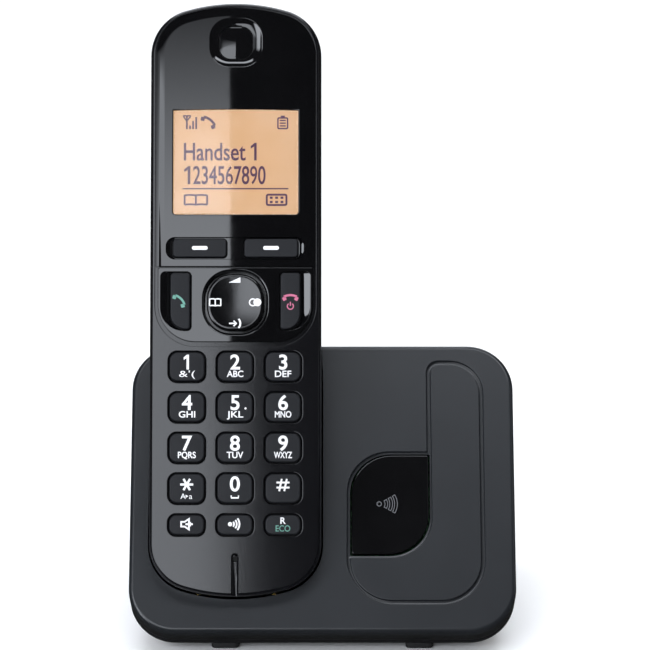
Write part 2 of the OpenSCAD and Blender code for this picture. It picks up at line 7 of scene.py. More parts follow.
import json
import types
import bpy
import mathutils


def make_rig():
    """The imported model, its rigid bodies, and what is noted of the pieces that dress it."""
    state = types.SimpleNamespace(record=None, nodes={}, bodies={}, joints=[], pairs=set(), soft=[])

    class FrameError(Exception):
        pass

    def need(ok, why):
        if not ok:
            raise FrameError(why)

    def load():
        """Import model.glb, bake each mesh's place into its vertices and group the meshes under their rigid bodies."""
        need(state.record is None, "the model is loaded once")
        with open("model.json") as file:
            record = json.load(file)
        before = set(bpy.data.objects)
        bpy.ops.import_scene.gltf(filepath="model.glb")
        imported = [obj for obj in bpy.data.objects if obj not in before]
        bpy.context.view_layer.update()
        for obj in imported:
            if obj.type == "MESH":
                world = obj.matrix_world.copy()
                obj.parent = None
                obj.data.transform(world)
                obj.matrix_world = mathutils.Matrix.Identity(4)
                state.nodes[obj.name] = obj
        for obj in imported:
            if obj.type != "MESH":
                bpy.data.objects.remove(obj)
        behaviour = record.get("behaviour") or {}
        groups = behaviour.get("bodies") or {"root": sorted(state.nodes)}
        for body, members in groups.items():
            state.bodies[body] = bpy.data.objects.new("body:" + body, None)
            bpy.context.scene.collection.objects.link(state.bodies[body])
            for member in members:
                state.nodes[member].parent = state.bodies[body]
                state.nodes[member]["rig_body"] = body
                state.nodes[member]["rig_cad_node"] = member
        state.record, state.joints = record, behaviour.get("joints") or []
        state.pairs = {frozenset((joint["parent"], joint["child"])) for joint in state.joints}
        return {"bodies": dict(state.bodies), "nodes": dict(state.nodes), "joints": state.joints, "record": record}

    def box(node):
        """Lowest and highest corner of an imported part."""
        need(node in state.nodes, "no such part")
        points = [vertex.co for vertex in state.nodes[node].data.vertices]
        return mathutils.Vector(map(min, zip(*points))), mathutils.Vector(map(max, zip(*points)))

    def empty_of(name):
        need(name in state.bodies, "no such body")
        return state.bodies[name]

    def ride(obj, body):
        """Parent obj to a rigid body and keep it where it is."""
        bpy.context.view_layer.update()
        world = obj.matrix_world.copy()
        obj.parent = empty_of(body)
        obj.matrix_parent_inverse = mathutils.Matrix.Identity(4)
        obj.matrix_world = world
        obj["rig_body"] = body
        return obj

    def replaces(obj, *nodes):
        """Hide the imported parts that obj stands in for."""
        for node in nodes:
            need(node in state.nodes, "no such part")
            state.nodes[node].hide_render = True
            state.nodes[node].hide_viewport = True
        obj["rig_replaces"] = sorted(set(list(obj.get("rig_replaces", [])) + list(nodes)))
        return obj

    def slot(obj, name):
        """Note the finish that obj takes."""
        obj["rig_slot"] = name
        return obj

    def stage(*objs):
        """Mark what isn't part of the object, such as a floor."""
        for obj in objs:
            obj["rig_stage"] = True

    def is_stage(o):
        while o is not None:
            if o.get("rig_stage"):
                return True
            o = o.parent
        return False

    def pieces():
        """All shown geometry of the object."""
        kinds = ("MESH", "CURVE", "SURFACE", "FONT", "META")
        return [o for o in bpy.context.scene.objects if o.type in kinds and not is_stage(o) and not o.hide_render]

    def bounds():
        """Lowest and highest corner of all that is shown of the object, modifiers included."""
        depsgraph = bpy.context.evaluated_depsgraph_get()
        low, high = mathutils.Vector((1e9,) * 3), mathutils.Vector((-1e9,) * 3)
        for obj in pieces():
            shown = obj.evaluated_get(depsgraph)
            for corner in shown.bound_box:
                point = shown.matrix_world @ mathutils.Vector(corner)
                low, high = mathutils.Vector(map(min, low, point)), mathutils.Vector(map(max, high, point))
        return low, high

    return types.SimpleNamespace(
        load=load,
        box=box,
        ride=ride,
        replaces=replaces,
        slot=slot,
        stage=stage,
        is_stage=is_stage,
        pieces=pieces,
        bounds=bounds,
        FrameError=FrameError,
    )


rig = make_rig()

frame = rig.load()
cad_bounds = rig.bounds()

import json
import math

import bmesh
import bpy
from mathutils import Matrix, Vector, geometry

MM = 0.001

# Handset, measured up from its lower end and out of its face
HALF_W = 24.0
LENGTH = 167.0
DEPTH = 27.0
ARCH_H = 14.8
ARCH_R = 13.2
ARCH_END_R = (ARCH_H**2 + (HALF_W - ARCH_R) ** 2 - ARCH_R**2) / (2 * (ARCH_H - ARCH_R))
PARTING = -13.0
BACK_ROLL = 8.0
WALL = 1.8
FRONT_WALL = 2.2
PANEL_T = 1.1
BEZEL_HALF = 22.25
INLAY_HALF = 22.45
SEAM = 92.0
NAV_HALF = 21.6
NAV_LOW = 71.0
NAV_Y = 82.0
PIVOT_N = -3.9
NAV_W = 15.8
NAV_R = 0.42 * NAV_W
GROOVE = 1.3
EAR_Y = 155.4
WINDOW_Y = 121.7
WINDOW_HALF = 17.5
SOFT_X = 9.95
SOFT_Y = 97.25
SOFT_W = 14.9
SOFT_H = 5.1
CALL_X = 15.35
CALL_W = 5.5
CALL_H = 15.8
KEY_W = 9.75
KEY_H = 8.0
KEY_R = 2.2
FUNCTION_H = 5.4
FUNCTION_R = 2.0
PITCH_X = 13.35
PITCH_Y = 11.3
TOP_ROW = 64.0
FUNCTION_ROW = 20.0
KEY_GAP = 0.35
KEY_TOP = 0.8
KEY_FOOT = -3.5
KEY_CROWN = 0.12
DIGIT_H = 3.96
COVER_W = 34.0
COVER_LOW = 14.0
COVER_HIGH = 76.0
COVER_TRAVEL = 3.5
LCD_FACE = -1.15
ROCKER_TOP = 0.9
ROCKER_DISH = 0.42
ROCKER_RIM = 0.58
LEDGE_N = -0.66
MIC_Y = 10.6
RINGER_Y = 130
PAD_X = 9
SHOULDER = -DEPTH + BACK_ROLL
SIDES = (-1, 1)
# Lips beside a parting line, as (growth, distance from the line)
HAND_LIP = ((0, 0.4), (-0.12, 0.15), (-0.3, 0))
BASE_LIP = ((0, 0.3), (-0.12, 0.1), (-0.3, 0))

# Base, measured on its sloping face
BASE_W = 108.0
FACE_LEN = 84.4
CORNER_R = 13.0
SLAB_T = 12.0
TOP_T = 8.0
EDGE_ROLL = 1.35
EDGE_DROP = 2.0
BASE_WALL = 2.0
LEAF = (8.2, 22.7, 29.7, 51.4)
LEAF_R = 11.3
GROOVE_DEPTH = 0.8
POCKET_GAP = 0.5
LINER = 1.5
FOOT_FRONT = 10.5
FOOT_W = 7.8
FOOT_D = 7.0
BASE_DEPTH = 89.0
JACK_WALL_H = 20.0
JACK_X = 12
JACK_Z = 10.5
CUP_LOW = 4.3
SCREW_SPOTS = ((-38, 37), (-6, 37), (40, 28), (38.5, 46))
WAVES_AT = (15.7, 37.1)

# ---- Working planes, from the joints and boxes of the frame ----


def plane(origin, up):
    """Takes millimetres on a sloping face to metres in the frame; X stays level."""
    across = Vector((1, 0, 0))
    up = Vector(up).normalized()
    turn = Matrix((across, up, across.cross(up))).transposed().to_4x4()
    return Matrix.Translation(origin) @ turn @ Matrix.Scale(MM, 4)


JOINTS = {joint["name"]: joint for joint in frame["joints"]}


def handset_plane():
    up = JOINTS["handset_lift"]["axis"]
    pivot = Vector(JOINTS["nav_up_down"]["pos_m"])
    return plane(pivot - plane((0, 0, 0), up) @ Vector((0, NAV_Y, PIVOT_N)), up)


def base_plane():
    """The base's sloping face, the Y of its front edge and the height of its feet."""
    up = Vector((1, 0, 0)).cross(Vector(JOINTS["locator_key_press"]["axis"]))
    low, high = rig.box("base_feet")
    front = low.y - FOOT_FRONT * MM
    return plane((0, front, high.z + SLAB_T * MM * up.y), up), front, high.z


HAND = handset_plane()
FACE, FRONT_Y, FOOT_TOP = base_plane()
FEET_H = FOOT_TOP / MM
DESK = Matrix.Translation((0, FRONT_Y, 0)) @ Matrix.Scale(MM, 4)

# ---- Outlines ----


def arc(centre, radius, start, end, steps):
    """Points along an arc, with angles in degrees."""
    turns = [math.radians(start + (end - start) * i / steps) for i in range(steps + 1)]
    return [Vector((centre[0] + radius * math.cos(a), centre[1] + radius * math.sin(a))) for a in turns]


def rounded(turns, steps=10):
    """Closed outline through turns (x, y, radius), each rounded with an arc."""
    points = []
    for i, (x, y, r) in enumerate(turns):
        here = Vector((x, y))
        if r == 0:
            points.append(here)
            continue
        u = (Vector(turns[i - 1][:2]) - here).normalized()
        v = (Vector(turns[(i + 1) % len(turns)][:2]) - here).normalized()
        half = u.angle(v) / 2
        centre = here + (u + v).normalized() * (r / math.sin(half))
        first = here + u * (r / math.tan(half)) - centre
        last = here + v * (r / math.tan(half)) - centre
        start = math.degrees(math.atan2(first.y, first.x))
        sweep = math.degrees(math.atan2(last.y, last.x)) - start
        sweep = (sweep + 180) % 360 - 180
        points += arc(centre, r, start, start + sweep, steps)
    return points


def circle(x, y, radius, count=24):
    return arc((x, y), radius, 0, 360 - 360 / count, count - 1)


def quarter(steps):
    """Angles from 0 to 90 degrees, in radians."""
    return [math.pi / 2 * i / steps for i in range(steps + 1)]


def corners(left, low, right, high, radii):
    """Corners of a rectangle with their radii, anticlockwise from the lower left."""
    spots = ((left, low), (right, low), (right, high), (left, high))
    return [(*spot, r) for spot, r in zip(spots, radii)]


def rect(x, y, w, h, r, steps=10):
    return rounded(corners(x - w / 2, y - h / 2, x + w / 2, y + h / 2, [r] * 4), steps)


def offset(outline, d):
    """The outline grown by d, point for point; it runs anticlockwise."""
    moved = []
    for i, p in enumerate(outline):
        a = (p - outline[i - 1]).normalized()
        b = (outline[(i + 1) % len(outline)] - p).normalized()
        both = Vector((a.y + b.y, -a.x - b.x))
        moved.append(p + both * (2 * d / max(both.length_squared, 0.5)))
    return moved


def between(first, second, t):
    return [p.lerp(q, t) for p, q in zip(first, second)]


def arch(inset=0.0):
    """The handset's lower end: two corner arcs and one wide arc."""
    turn = math.degrees(math.atan2(HALF_W - ARCH_R, ARCH_END_R - ARCH_H))
    x, steps = HALF_W - ARCH_R, 18
    return (
        arc((-x, ARCH_H), ARCH_R - inset, 180, 270 - turn, steps)
        + arc((0, ARCH_END_R), ARCH_END_R - inset, 270 - turn, 270 + turn, steps)[1:-1]
        + arc((x, ARCH_H), ARCH_R - inset, 270 + turn, 360, steps)
    )


def upside_down(points):
    return [Vector((-p.x, LENGTH - p.y)) for p in points]


def handset_outline():
    return arch() + upside_down(arch())


def digit(col, row):
    return rect((col - 1) * PITCH_X, TOP_ROW - row * PITCH_Y, KEY_W, KEY_H, KEY_R)


def function_key(col):
    return rect((col - 1) * PITCH_X, FUNCTION_ROW, KEY_W, FUNCTION_H, FUNCTION_R)


def soft(side, grow=0.0):
    return rect(side * SOFT_X, SOFT_Y, SOFT_W + 2 * grow, SOFT_H + 2 * grow, 1 + grow, 6)


def nav(grow=0.0):
    return rect(0, NAV_Y, NAV_W + 2 * grow, NAV_W + 2 * grow, NAV_R + grow, 18)


def call(side, grow=0.0, reach=0.0):
    """A call key's outline; reach widens it on its outer side, where the lower corner is round."""
    w, h = CALL_W / 2 + grow, CALL_H / 2 + grow
    radii = (4.2 + grow + reach * 0.8, 0.9 + grow, 1 + grow, 1 + grow)
    points = rounded(corners(-w - reach, -h, w, h, radii))
    if side > 0:
        points = [Vector((-p.x, p.y)) for p in reversed(points)]
    return [p + Vector((side * CALL_X, NAV_Y + 0.4)) for p in points]


def inlay(half, neck, low, corner):
    """Outline of a recess that takes the bezel, with the narrower navigation panel under it."""
    step = SEAM - 0.1
    sides = [(-half, step, 0), (-neck, step, 0), (-neck, low, corner), (neck, low, corner)]
    sides += [(neck, step, 0), (half, step, 0)]
    if half == neck:
        sides = sides[1:-1]
    return rounded(sides, 16) + upside_down(arch(HALF_W - half))


def bezel(inset):
    """The bezel's outline; its lower edge moves less than its sides."""
    side = BEZEL_HALF - inset
    low = SEAM + 0.05 + 0.15 * inset
    return [Vector((-side, low)), Vector((side, low))] + upside_down(arch(HALF_W - side))


def window():
    """The display window, whose top edge bows slightly."""
    half, low, high, bow = WINDOW_HALF, WINDOW_Y - 14.9, WINDOW_Y + 14.5, 516.0
    reach = math.degrees(math.asin(half / bow))
    top = arc((0, high - math.sqrt(bow**2 - half**2)), bow, 90 - reach, 90 + reach, 16)
    return rounded(corners(-half, low, half, high, (0.8, 0.8, 0, 0)), 6)[:-2] + top


def leaf(grow=0.0):
    left, low, right, high = LEAF
    big, small = LEAF_R + grow / 2, 0.5
    sides = corners(left - grow, low - grow, right + grow, high + grow, (small, big, small, big))
    return rounded(sides, 14)


def groove_outside():
    """Outer side of the hook groove together with the locator key's recess."""
    right = [(6.65, 8.1, 13.6), (45.5, 8.1, 12.6), (45.5, 79.6, 9.6)]
    return rounded(right + [(29.4, 79.6, 3.6), (29.4, 52.55, 0.3), (7.05, 52.55, 11.9)], 16)


def groove_island():
    """The raised hook shape that the groove runs round."""
    right = [(7.85, 9.3, 11.7), (44.3, 9.3, 11.4), (44.3, 78.4, 8.4)]
    return rounded(right + [(30.6, 78.4, 2.4), (30.85, 21.55, 11.9), (7.85, 21.55, 0.3)], 16)


def slab(inset=0.0):
    return rect(0, FACE_LEN / 2, BASE_W - 2 * inset, FACE_LEN - 2 * inset, CORNER_R - inset, 18)


# ---- Meshes from rings ----


def inside(point, loop):
    odd = False
    for i, p in enumerate(loop):
        q = loop[i - 1]
        if (p[1] > point[1]) != (q[1] > point[1]):
            if point[0] < (q[0] - p[0]) * (point[1] - p[1]) / (q[1] - p[1]) + p[0]:
                odd = not odd
    return odd


def edge(width, depth, steps=6, top=0.0, side=-1):
    """Profile of a rounded edge; side -1 is the edge of a body and 1 the edge of a hole."""
    points = [(side * (width + 0.05), top)]
    for a in quarter(steps):
        points.append((side * width * (1 - math.sin(a)), top - depth * (1 - math.cos(a))))
    return points


SHARP_DEGREES = 38


class Skin:
    """Rings of points on a working plane, joined into a closed surface."""

    def __init__(self):
        self.points = []
        self.faces = []

    def ring(self, outline, n):
        start = len(self.points)
        self.points += [(p[0], p[1], n) for p in outline]
        return list(range(start, len(self.points)))

    def strip(self, a, b):
        count = len(a)
        self.faces += [(a[i], a[(i + 1) % count], b[(i + 1) % count], b[i]) for i in range(count)]

    def loft(self, sections, start=None):
        """Skins outlines (outline, n) of equal length and returns the first and last ring."""
        rings = [self.ring(outline, n) for outline, n in sections]
        if start is not None:
            rings.insert(0, start)
        for a, b in zip(rings, rings[1:]):
            self.strip(a, b)
        return rings[0], rings[-1]

    def wall(self, outline, profile, start=None):
        """Skins an outline along a profile of (growth, n)."""
        return self.loft([(offset(outline, d), n) for d, n in profile], start)

    def solid(self, outline, profile):
        """A wall with both of its ends closed."""
        for ring in self.wall(outline, profile):
            self.fill(ring)
        return self

    def shafts(self, outlines, profile):
        """Walls of several holes; returns their first rings and their last rings."""
        return tuple(zip(*[self.wall(outline, profile) for outline in outlines]))

    def fill(self, outer, holes=()):
        """Fills between a ring and the rings inside it."""
        loops = [outer, *holes]
        order = [i for loop in loops for i in loop]
        edges = []
        for loop in loops:
            base = len(edges)
            edges += [(base + i, base + (i + 1) % len(loop)) for i in range(len(loop))]
        flat = [Vector(self.points[i][:2]) for i in order]
        _, _, triangles, origin, _, _ = geometry.delaunay_2d_cdt(flat, edges, [], 1, 1e-5)
        loop_of = [k for k, loop in enumerate(loops) for _ in loop]
        for triangle in triangles:
            if any(not origin[i] for i in triangle):
                raise ValueError(f"rings cross near {[flat[0], flat[-1]]}")
            spots = [origin[i][0] for i in triangle]
            owners = {loop_of[i] for i in spots}
            if len(owners) == 1:
                owner = owners.pop()
                middle = sum((flat[i] for i in spots), Vector((0, 0))) / 3
                within = inside(middle, [self.points[i] for i in loops[owner]])
                if within != (owner == 0):
                    continue
            self.faces.append(tuple(order[i] for i in spots))

    def dome(self, ring, rise, steps=6):
        """Closes a ring with a round crown that rises by rise at its middle."""
        outline = [Vector(self.points[i][:2]) for i in ring]
        n = self.points[ring[0]][2]
        middle = sum(outline, Vector((0, 0))) / len(outline)
        reach = max((p - middle).length for p in outline)
        for k in range(1, steps):
            t = 1 - k / steps
            start = len(self.points)
            for p in outline:
                share = ((p - middle).length / reach) ** 2
                height = 1 - share * t * t - (1 - share) * t**6
                spot = middle + (p - middle) * t
                self.points.append((spot.x, spot.y, n + rise * height))
            inner = list(range(start, len(self.points)))
            self.strip(ring, inner)
            ring = inner
        self.points.append((middle.x, middle.y, n + rise))
        tip = len(self.points) - 1
        self.faces += [(ring[i], ring[(i + 1) % len(ring)], tip) for i in range(len(ring))]

    def mesh(self, name, where=None):
        made = bpy.data.meshes.new(name)
        made.from_pydata([(where or HAND) @ Vector(p) for p in self.points], [], self.faces)
        return tidy(made)

    def show(self, name, body, slot, *stands_for, where=None, finish=None):
        show(name, self.mesh(name, where), body, slot, *stands_for, finish=finish)


def tidy(mesh):
    """Welds, turns every face outwards and smooths all but the sharp edges."""
    work = bmesh.new()
    work.from_mesh(mesh)
    bmesh.ops.remove_doubles(work, verts=work.verts, dist=1e-7)
    bmesh.ops.recalc_face_normals(work, faces=work.faces)
    work.to_mesh(mesh)
    work.free()
    mesh.shade_smooth()
    mesh.set_sharp_from_angle(angle=math.radians(SHARP_DEGREES))
    return mesh


def carve(mesh, *tools, how="DIFFERENCE"):
    """The mesh after a boolean with each tool in turn."""
    for tool in tools:
        body = bpy.data.objects.new("carve_body", mesh)
        cutter = bpy.data.objects.new("carve_tool", tool)
        for obj in (body, cutter):
            bpy.context.scene.collection.objects.link(obj)
        step = body.modifiers.new("carve", "BOOLEAN")
        step.operation = how
        step.solver = "EXACT"
        step.object = cutter
        ready = body.evaluated_get(bpy.context.evaluated_depsgraph_get())
        mesh = tidy(bpy.data.meshes.new_from_object(ready))
        for obj in (body, cutter):
            bpy.data.objects.remove(obj)
    return mesh


def prism(outline, low, high, where=None):
    return Skin().solid(outline, [(0, low), (0, high)]).mesh("prism", where)


def show(name, mesh, body, slot, *stands_for, finish=None):
    """Adds a piece that rides on a body and stands for CAD nodes."""
    obj = bpy.data.objects.new(name, mesh)
    mesh.materials.clear()
    mesh.materials.append(finish or FINISHES[slot])
    bpy.context.scene.collection.objects.link(obj)
    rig.ride(obj, body)
    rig.slot(obj, slot)
    if stands_for:
        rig.replaces(obj, *stands_for)


# ---- Finishes ----


def tone(code):
    """Linear colour of a #rrggbb code."""
    parts = [int(code[i : i + 2], 16) / 255 for i in (1, 3, 5)]
    linear = [c / 12.92 if c < 0.04045 else ((c + 0.055) / 1.055) ** 2.4 for c in parts]
    return (*linear, 1.0)


def set_sockets(node, values):
    """Sets input sockets by name; underscores stand for spaces."""
    for key, value in values.items():
        node.inputs[key.replace("_", " ")].default_value = value


def add_node(tree, kind, **values):
    node = tree.nodes.new("ShaderNode" + kind)
    set_sockets(node, values)
    return node


class Finish:
    """A procedural material around one Principled shader."""

    def __init__(self, name, **sockets):
        self.material = bpy.data.materials.new(name)
        self.material.use_nodes = True
        self.tree = self.material.node_tree
        self.link = self.tree.links.new
        self.shader = self.tree.nodes["Principled BSDF"]
        set_sockets(self.shader, sockets)
        self.place = add_node(self.tree, "TexCoord").outputs["Object"]

    def noise(self, scale, detail=2.0, stretch=(1, 1, 1)):
        """Noise with features of about 1/scale of a metre."""
        spread = add_node(self.tree, "Mapping", Scale=stretch)
        self.link(self.place, spread.inputs["Vector"])
        node = add_node(self.tree, "TexNoise", Scale=scale, Detail=detail)
        self.link(spread.outputs["Vector"], node.inputs["Vector"])
        return node.outputs["Fac"]

    def ramp(self, source, low, high, start=0.3, end=0.7):
        node = add_node(self.tree, "MapRange", From_Min=start, From_Max=end, To_Min=low, To_Max=high)
        self.link(source, node.inputs["Value"])
        return node.outputs["Result"]

    def colours(self, source, first, second, socket="Base Color"):
        node = add_node(self.tree, "ValToRGB")
        for element, code, position in zip(node.color_ramp.elements, (first, second), (0.3, 0.7)):
            element.color = tone(code)
            element.position = position
        self.link(source, node.inputs["Fac"])
        self.link(node.outputs["Color"], self.shader.inputs[socket])

    def rough(self, source, low, high):
        self.link(self.ramp(source, low, high), self.shader.inputs["Roughness"])

    def bump(self, source, height):
        """Raises the surface by up to height millimetres."""
        node = add_node(self.tree, "Bump", Distance=height * MM)
        self.link(source, node.inputs["Height"])
        self.link(node.outputs["Normal"], self.shader.inputs["Normal"])


def moulded(name, dark, light, low, high, grain, height, **sockets):
    """Moulded plastic: sparked grain of the given size in millimetres, soft mottling."""
    finish = Finish(name, **sockets)
    fine = finish.noise(1 / (grain * MM), 3)
    broad = finish.noise(60, 2)
    finish.colours(broad, dark, light)
    finish.rough(fine, low, high)
    finish.bump(fine, height)
    return finish.material


def polished(name, dark, light, low, high, **sockets):
    """Gloss plastic with the faint waviness and haze that moulding leaves."""
    finish = Finish(name, **sockets)
    finish.colours(finish.noise(90, 2), dark, light)
    finish.rough(finish.noise(220, 4), low, high)
    finish.bump(finish.noise(45, 1), 0.006)
    return finish.material


def metal(name, dark, light, low, high, stretch=(1, 1, 1)):
    """Plated or drawn metal with fine lines along its length."""
    finish = Finish(name, Metallic=1.0)
    lines = finish.noise(2600, 3, stretch)
    finish.colours(lines, dark, light)
    finish.rough(finish.noise(900, 3, stretch), low, high)
    finish.bump(lines, 0.004)
    return finish.material


def circuit(name):
    """Solder mask over copper tracks: cells give the tracks and pads."""
    finish = Finish(name, Coat_Weight=0.4, Coat_Roughness=0.2)
    cells = add_node(finish.tree, "TexVoronoi", Scale=420)
    cells.feature = "DISTANCE_TO_EDGE"
    finish.link(finish.place, cells.inputs["Vector"])
    tracks = finish.ramp(cells.outputs["Distance"], 0, 1, 0.05, 0.09)
    finish.colours(tracks, "#2f6b3a", "#134a26")
    finish.bump(tracks, 0.03)
    finish.rough(finish.noise(500, 2), 0.35, 0.5)
    return finish.material


def glowing(name, first, second, strength, scale, base):
    """A lit surface whose glow varies faintly."""
    finish = Finish(name, Emission_Strength=strength, Base_Color=tone(base))
    finish.colours(finish.noise(scale, 2), first, second, "Emission Color")
    finish.bump(finish.noise(4000, 2), 0.002)
    return finish.material


def window_glass():
    finish = Finish("window_glass", Transmission_Weight=1.0, IOR=1.3, Roughness=0.02)
    finish.colours(finish.noise(80, 1), "#fbf6ee", "#ffffff")
    finish.bump(finish.noise(60, 1), 0.002)
    return finish.material


FINISHES = {
    "base_cover": moulded("base_plastic", "#16181b", "#1a1c1f", 0.28, 0.36, 0.32, 0.01),
    "bottom_cover": moulded("lower_plastic", "#131315", "#18181a", 0.42, 0.58, 0.4, 0.012),
    "foot_rubber": moulded("foot_rubber", "#161616", "#1c1c1c", 0.7, 0.85, 0.25, 0.03),
    "screw_steel": metal("screw_steel", "#8f9092", "#b5b6b8", 0.25, 0.4),
    "circuit_board": circuit("circuit_board"),
    "tinned_steel": metal("tinned_steel", "#a7a9aa", "#c6c7c8", 0.28, 0.42, (1, 6, 1)),
    "contact_metal": metal("contact_metal", "#b99a56", "#d8bd7d", 0.18, 0.3, (1, 1, 6)),
    "capacitor_sleeve": polished("capacitor_sleeve", "#1d2c40", "#26384f", 0.3, 0.4),
    "jack_plastic": moulded("jack_plastic", "#141415", "#1a1a1b", 0.35, 0.5, 0.5, 0.01),
    "switch_body": moulded("switch_body", "#2a2a2c", "#333335", 0.4, 0.55, 0.4, 0.01),
    "locator_gloss": polished("locator_gloss", "#070708", "#0a0a0b", 0.05, 0.1),
    "front_case": moulded("front_plastic", "#08080a", "#0b0b0d", 0.06, 0.085, 0.3, 0.004,
                          Specular_IOR_Level=0.39),
    "rear_case": moulded("rear_plastic", "#141516", "#18191a", 0.34, 0.46, 0.32, 0.018),
    "black_gloss": polished("bezel_gloss", "#050506", "#070708", 0.012, 0.024),
    "light_guide": moulded("light_guide", "#d8d8d4", "#e6e6e2", 0.4, 0.55, 0.8, 0.01),
    "keypad_rubber": moulded("keypad_rubber", "#17171a", "#1e1e21", 0.6, 0.75, 0.4, 0.015),
    "dome_steel": metal("dome_steel", "#9b9c9e", "#bdbec0", 0.2, 0.32, (5, 1, 1)),
    "speaker_body": moulded("speaker_body", "#3c3c3e", "#4a4a4c", 0.45, 0.6, 0.5, 0.01),
    "cell_jacket": polished("cell_jacket", "#8c9095", "#a7abb0", 0.25, 0.35, Metallic=0.7),
    "rocker_gloss": polished("rocker_gloss", "#040405", "#060607", 0.1, 0.16),
    "key_plastic": moulded("key_plastic", "#141518", "#18191c", 0.45, 0.55, 0.22, 0.008,
                           Specular_IOR_Level=0.2),
    "amber_display": glowing("amber_display", "#dcb28a", "#e0b68f", 0.86, 120, "#6b5440"),
    "display_window": window_glass(),
}
PRINT_WHITE = moulded("print_white", "#c9c9ca", "#d2d2d3", 0.4, 0.55, 0.2, 0.004)
PRINT_GREEN = moulded("print_green", "#4c7d70", "#588a7d", 0.4, 0.55, 0.2, 0.004)
PRINT_PINK = moulded("print_pink", "#a04f6b", "#ad5a77", 0.4, 0.55, 0.2, 0.004)
# Light grey standing in for the glints on the locator key's raised gloss-black outline: a painted highlight, not
# print.
PAINTED_HIGHLIGHT_GREY = moulded("painted_highlight_grey", "#505154", "#5c5d60", 0.25, 0.35, 0.2, 0.004)
LCD_INK = glowing("lcd_ink", "#4f3052", "#583659", 1.0, 300, "#120c12")


def carried_nodes():
    """Gives every CAD node its finish by its material slot."""
    for entry in frame["record"]["subparts"]:
        obj = frame["nodes"][entry["node"]]
        obj.data.materials.clear()
        obj.data.materials.append(FINISHES[entry["material_slot"]])


# ---- Marks printed or raised on a surface ----


class Marks(Skin):
    """Thin flat shapes round a point, on a surface whose height is level(x, y)."""

    def __init__(self, level, thickness=0.02, at=(0, 0)):
        super().__init__()
        self.level = level
        self.thickness = thickness
        self.at = at

    def shape(self, outline, *holes):
        skin = Skin()
        loops = [divided(loop) for loop in (outline, *holes)]
        for rings in skin.shafts(loops, [(0, -1), (0, 1)]):
            skin.fill(rings[0], rings[1:])
        start = len(self.points)
        for x, y, z in skin.points:
            x, y = x + self.at[0], y + self.at[1]
            self.points.append((x, y, self.level(x, y) + self.thickness * z))
        self.faces += [tuple(start + i for i in face) for face in skin.faces]

    def stroke(self, line, width):
        """A line of constant width with square ends."""
        left, right = [], []
        for i, p in enumerate(line):
            along = (line[min(i + 1, len(line) - 1)] - line[max(i - 1, 0)]).normalized()
            across = Vector((along.y, -along.x)) * width / 2
            right.append(p + across)
            left.append(p - across)
        self.shape(right + left[::-1])

    def line(self, width, *pairs):
        self.stroke(vectors(*pairs), width)

    def loop(self, outline, width):
        self.shape(offset(outline, width / 2), offset(outline, -width / 2))

    def dot(self, x, y, radius):
        self.shape(circle(x, y, radius))

    def text(self, words, height, x, y, bold=0.0, width=None, align=0.5):
        """Words with capitals of the given height on the baseline y; align 0 starts them at x."""
        loops = glyph_loops(words, height / CAP_SHARE)
        low = min(p.x for loop in loops for p in loop)
        high = max(p.x for loop in loops for p in loop)
        scale = width / (high - low) if width else 1.0
        start = x - align * scale * (high - low)
        loops = [[Vector((start + (p.x - low) * scale, y + p.y)) for p in loop] for loop in loops]
        for loop in loops:
            if depth_in(loop, loops) % 2 == 0:
                holes = [hole for hole in loops if hole is not loop and inside(hole[0], loop)]
                self.bold_shape([loop, *holes], bold)

    def bold_shape(self, loops, bold):
        """Adds a letter, thickened as far as its narrow parts allow."""
        for grow in (bold, bold / 2, bold / 4):
            try:
                self.shape(*[offset(loop, grow) for loop in loops])
                return
            except ValueError:
                continue
        self.shape(*loops)

    def one(self, height, x, y, bold=0.0):
        """The digit 1 with its flag, standing on the baseline y and centred on x."""
        stem = vectors((-0.02, 0), (0.1, 0), (0.1, 1), (0.0, 1))
        outline = stem + vectors((-0.22, 0.82), (-0.22, 0.7), (-0.02, 0.82))
        self.shape(offset([Vector((x, y)) + p * height for p in outline], bold))

    def piece(self, name, body, finish=None, slot="key_plastic", where=None):
        self.show(name, body, slot, where=where, finish=finish or PRINT_WHITE)


CAP_SHARE = 0.682


def divided(outline, longest=0.4):
    """The outline with its long sides divided, so that a mark can follow a curved surface."""
    points = []
    for p, q in zip(outline, outline[1:] + outline[:1]):
        count = math.ceil(max((q - p).length / longest, 1))
        points += [p.lerp(q, k / count) for k in range(count)]
    return points


def glyph_loops(words, size):
    """Outlines of the words, outer ones anticlockwise and holes clockwise."""
    font = bpy.data.curves.new("words", "FONT")
    font.body = words
    font.size = size
    font.fill_mode = "NONE"
    font.resolution_u = 6
    obj = bpy.data.objects.new("words", font)
    bpy.context.scene.collection.objects.link(obj)
    mesh = bpy.data.meshes.new_from_object(obj.evaluated_get(bpy.context.evaluated_depsgraph_get()))
    following = {link.vertices[0]: link.vertices[1] for link in mesh.edges}
    nearest = 0.004 * size
    loops = []
    left = set(following)
    while left:
        here = min(left)
        loop = []
        while here in left:
            left.remove(here)
            spot = Vector(mesh.vertices[here].co[:2])
            if not loop or (spot - loop[-1]).length > nearest:
                loop.append(spot)
            here = following[here]
        if (loop[0] - loop[-1]).length < nearest:
            loop.pop()
        loops.append(loop)
    bpy.data.objects.remove(obj)
    bpy.data.meshes.remove(mesh)
    return [facing_out(loop, depth_in(loop, loops) % 2 == 0) for loop in loops]


def depth_in(loop, loops):
    return sum(1 for other in loops if other is not loop and inside(loop[0], other))


def facing_out(loop, outer):
    area = sum(loop[i - 1].cross(p) for i, p in enumerate(loop))
    return loop if (area > 0) == outer else loop[::-1]


def vectors(*pairs):
    return [Vector(p) for p in pairs]


def turned(points, x, y, degrees, size=1.0):
    """Points scaled, turned about the origin and moved to (x, y)."""
    turn = Matrix.Rotation(math.radians(degrees), 2)
    return [Vector((x, y)) + turn @ (p * size) for p in points]


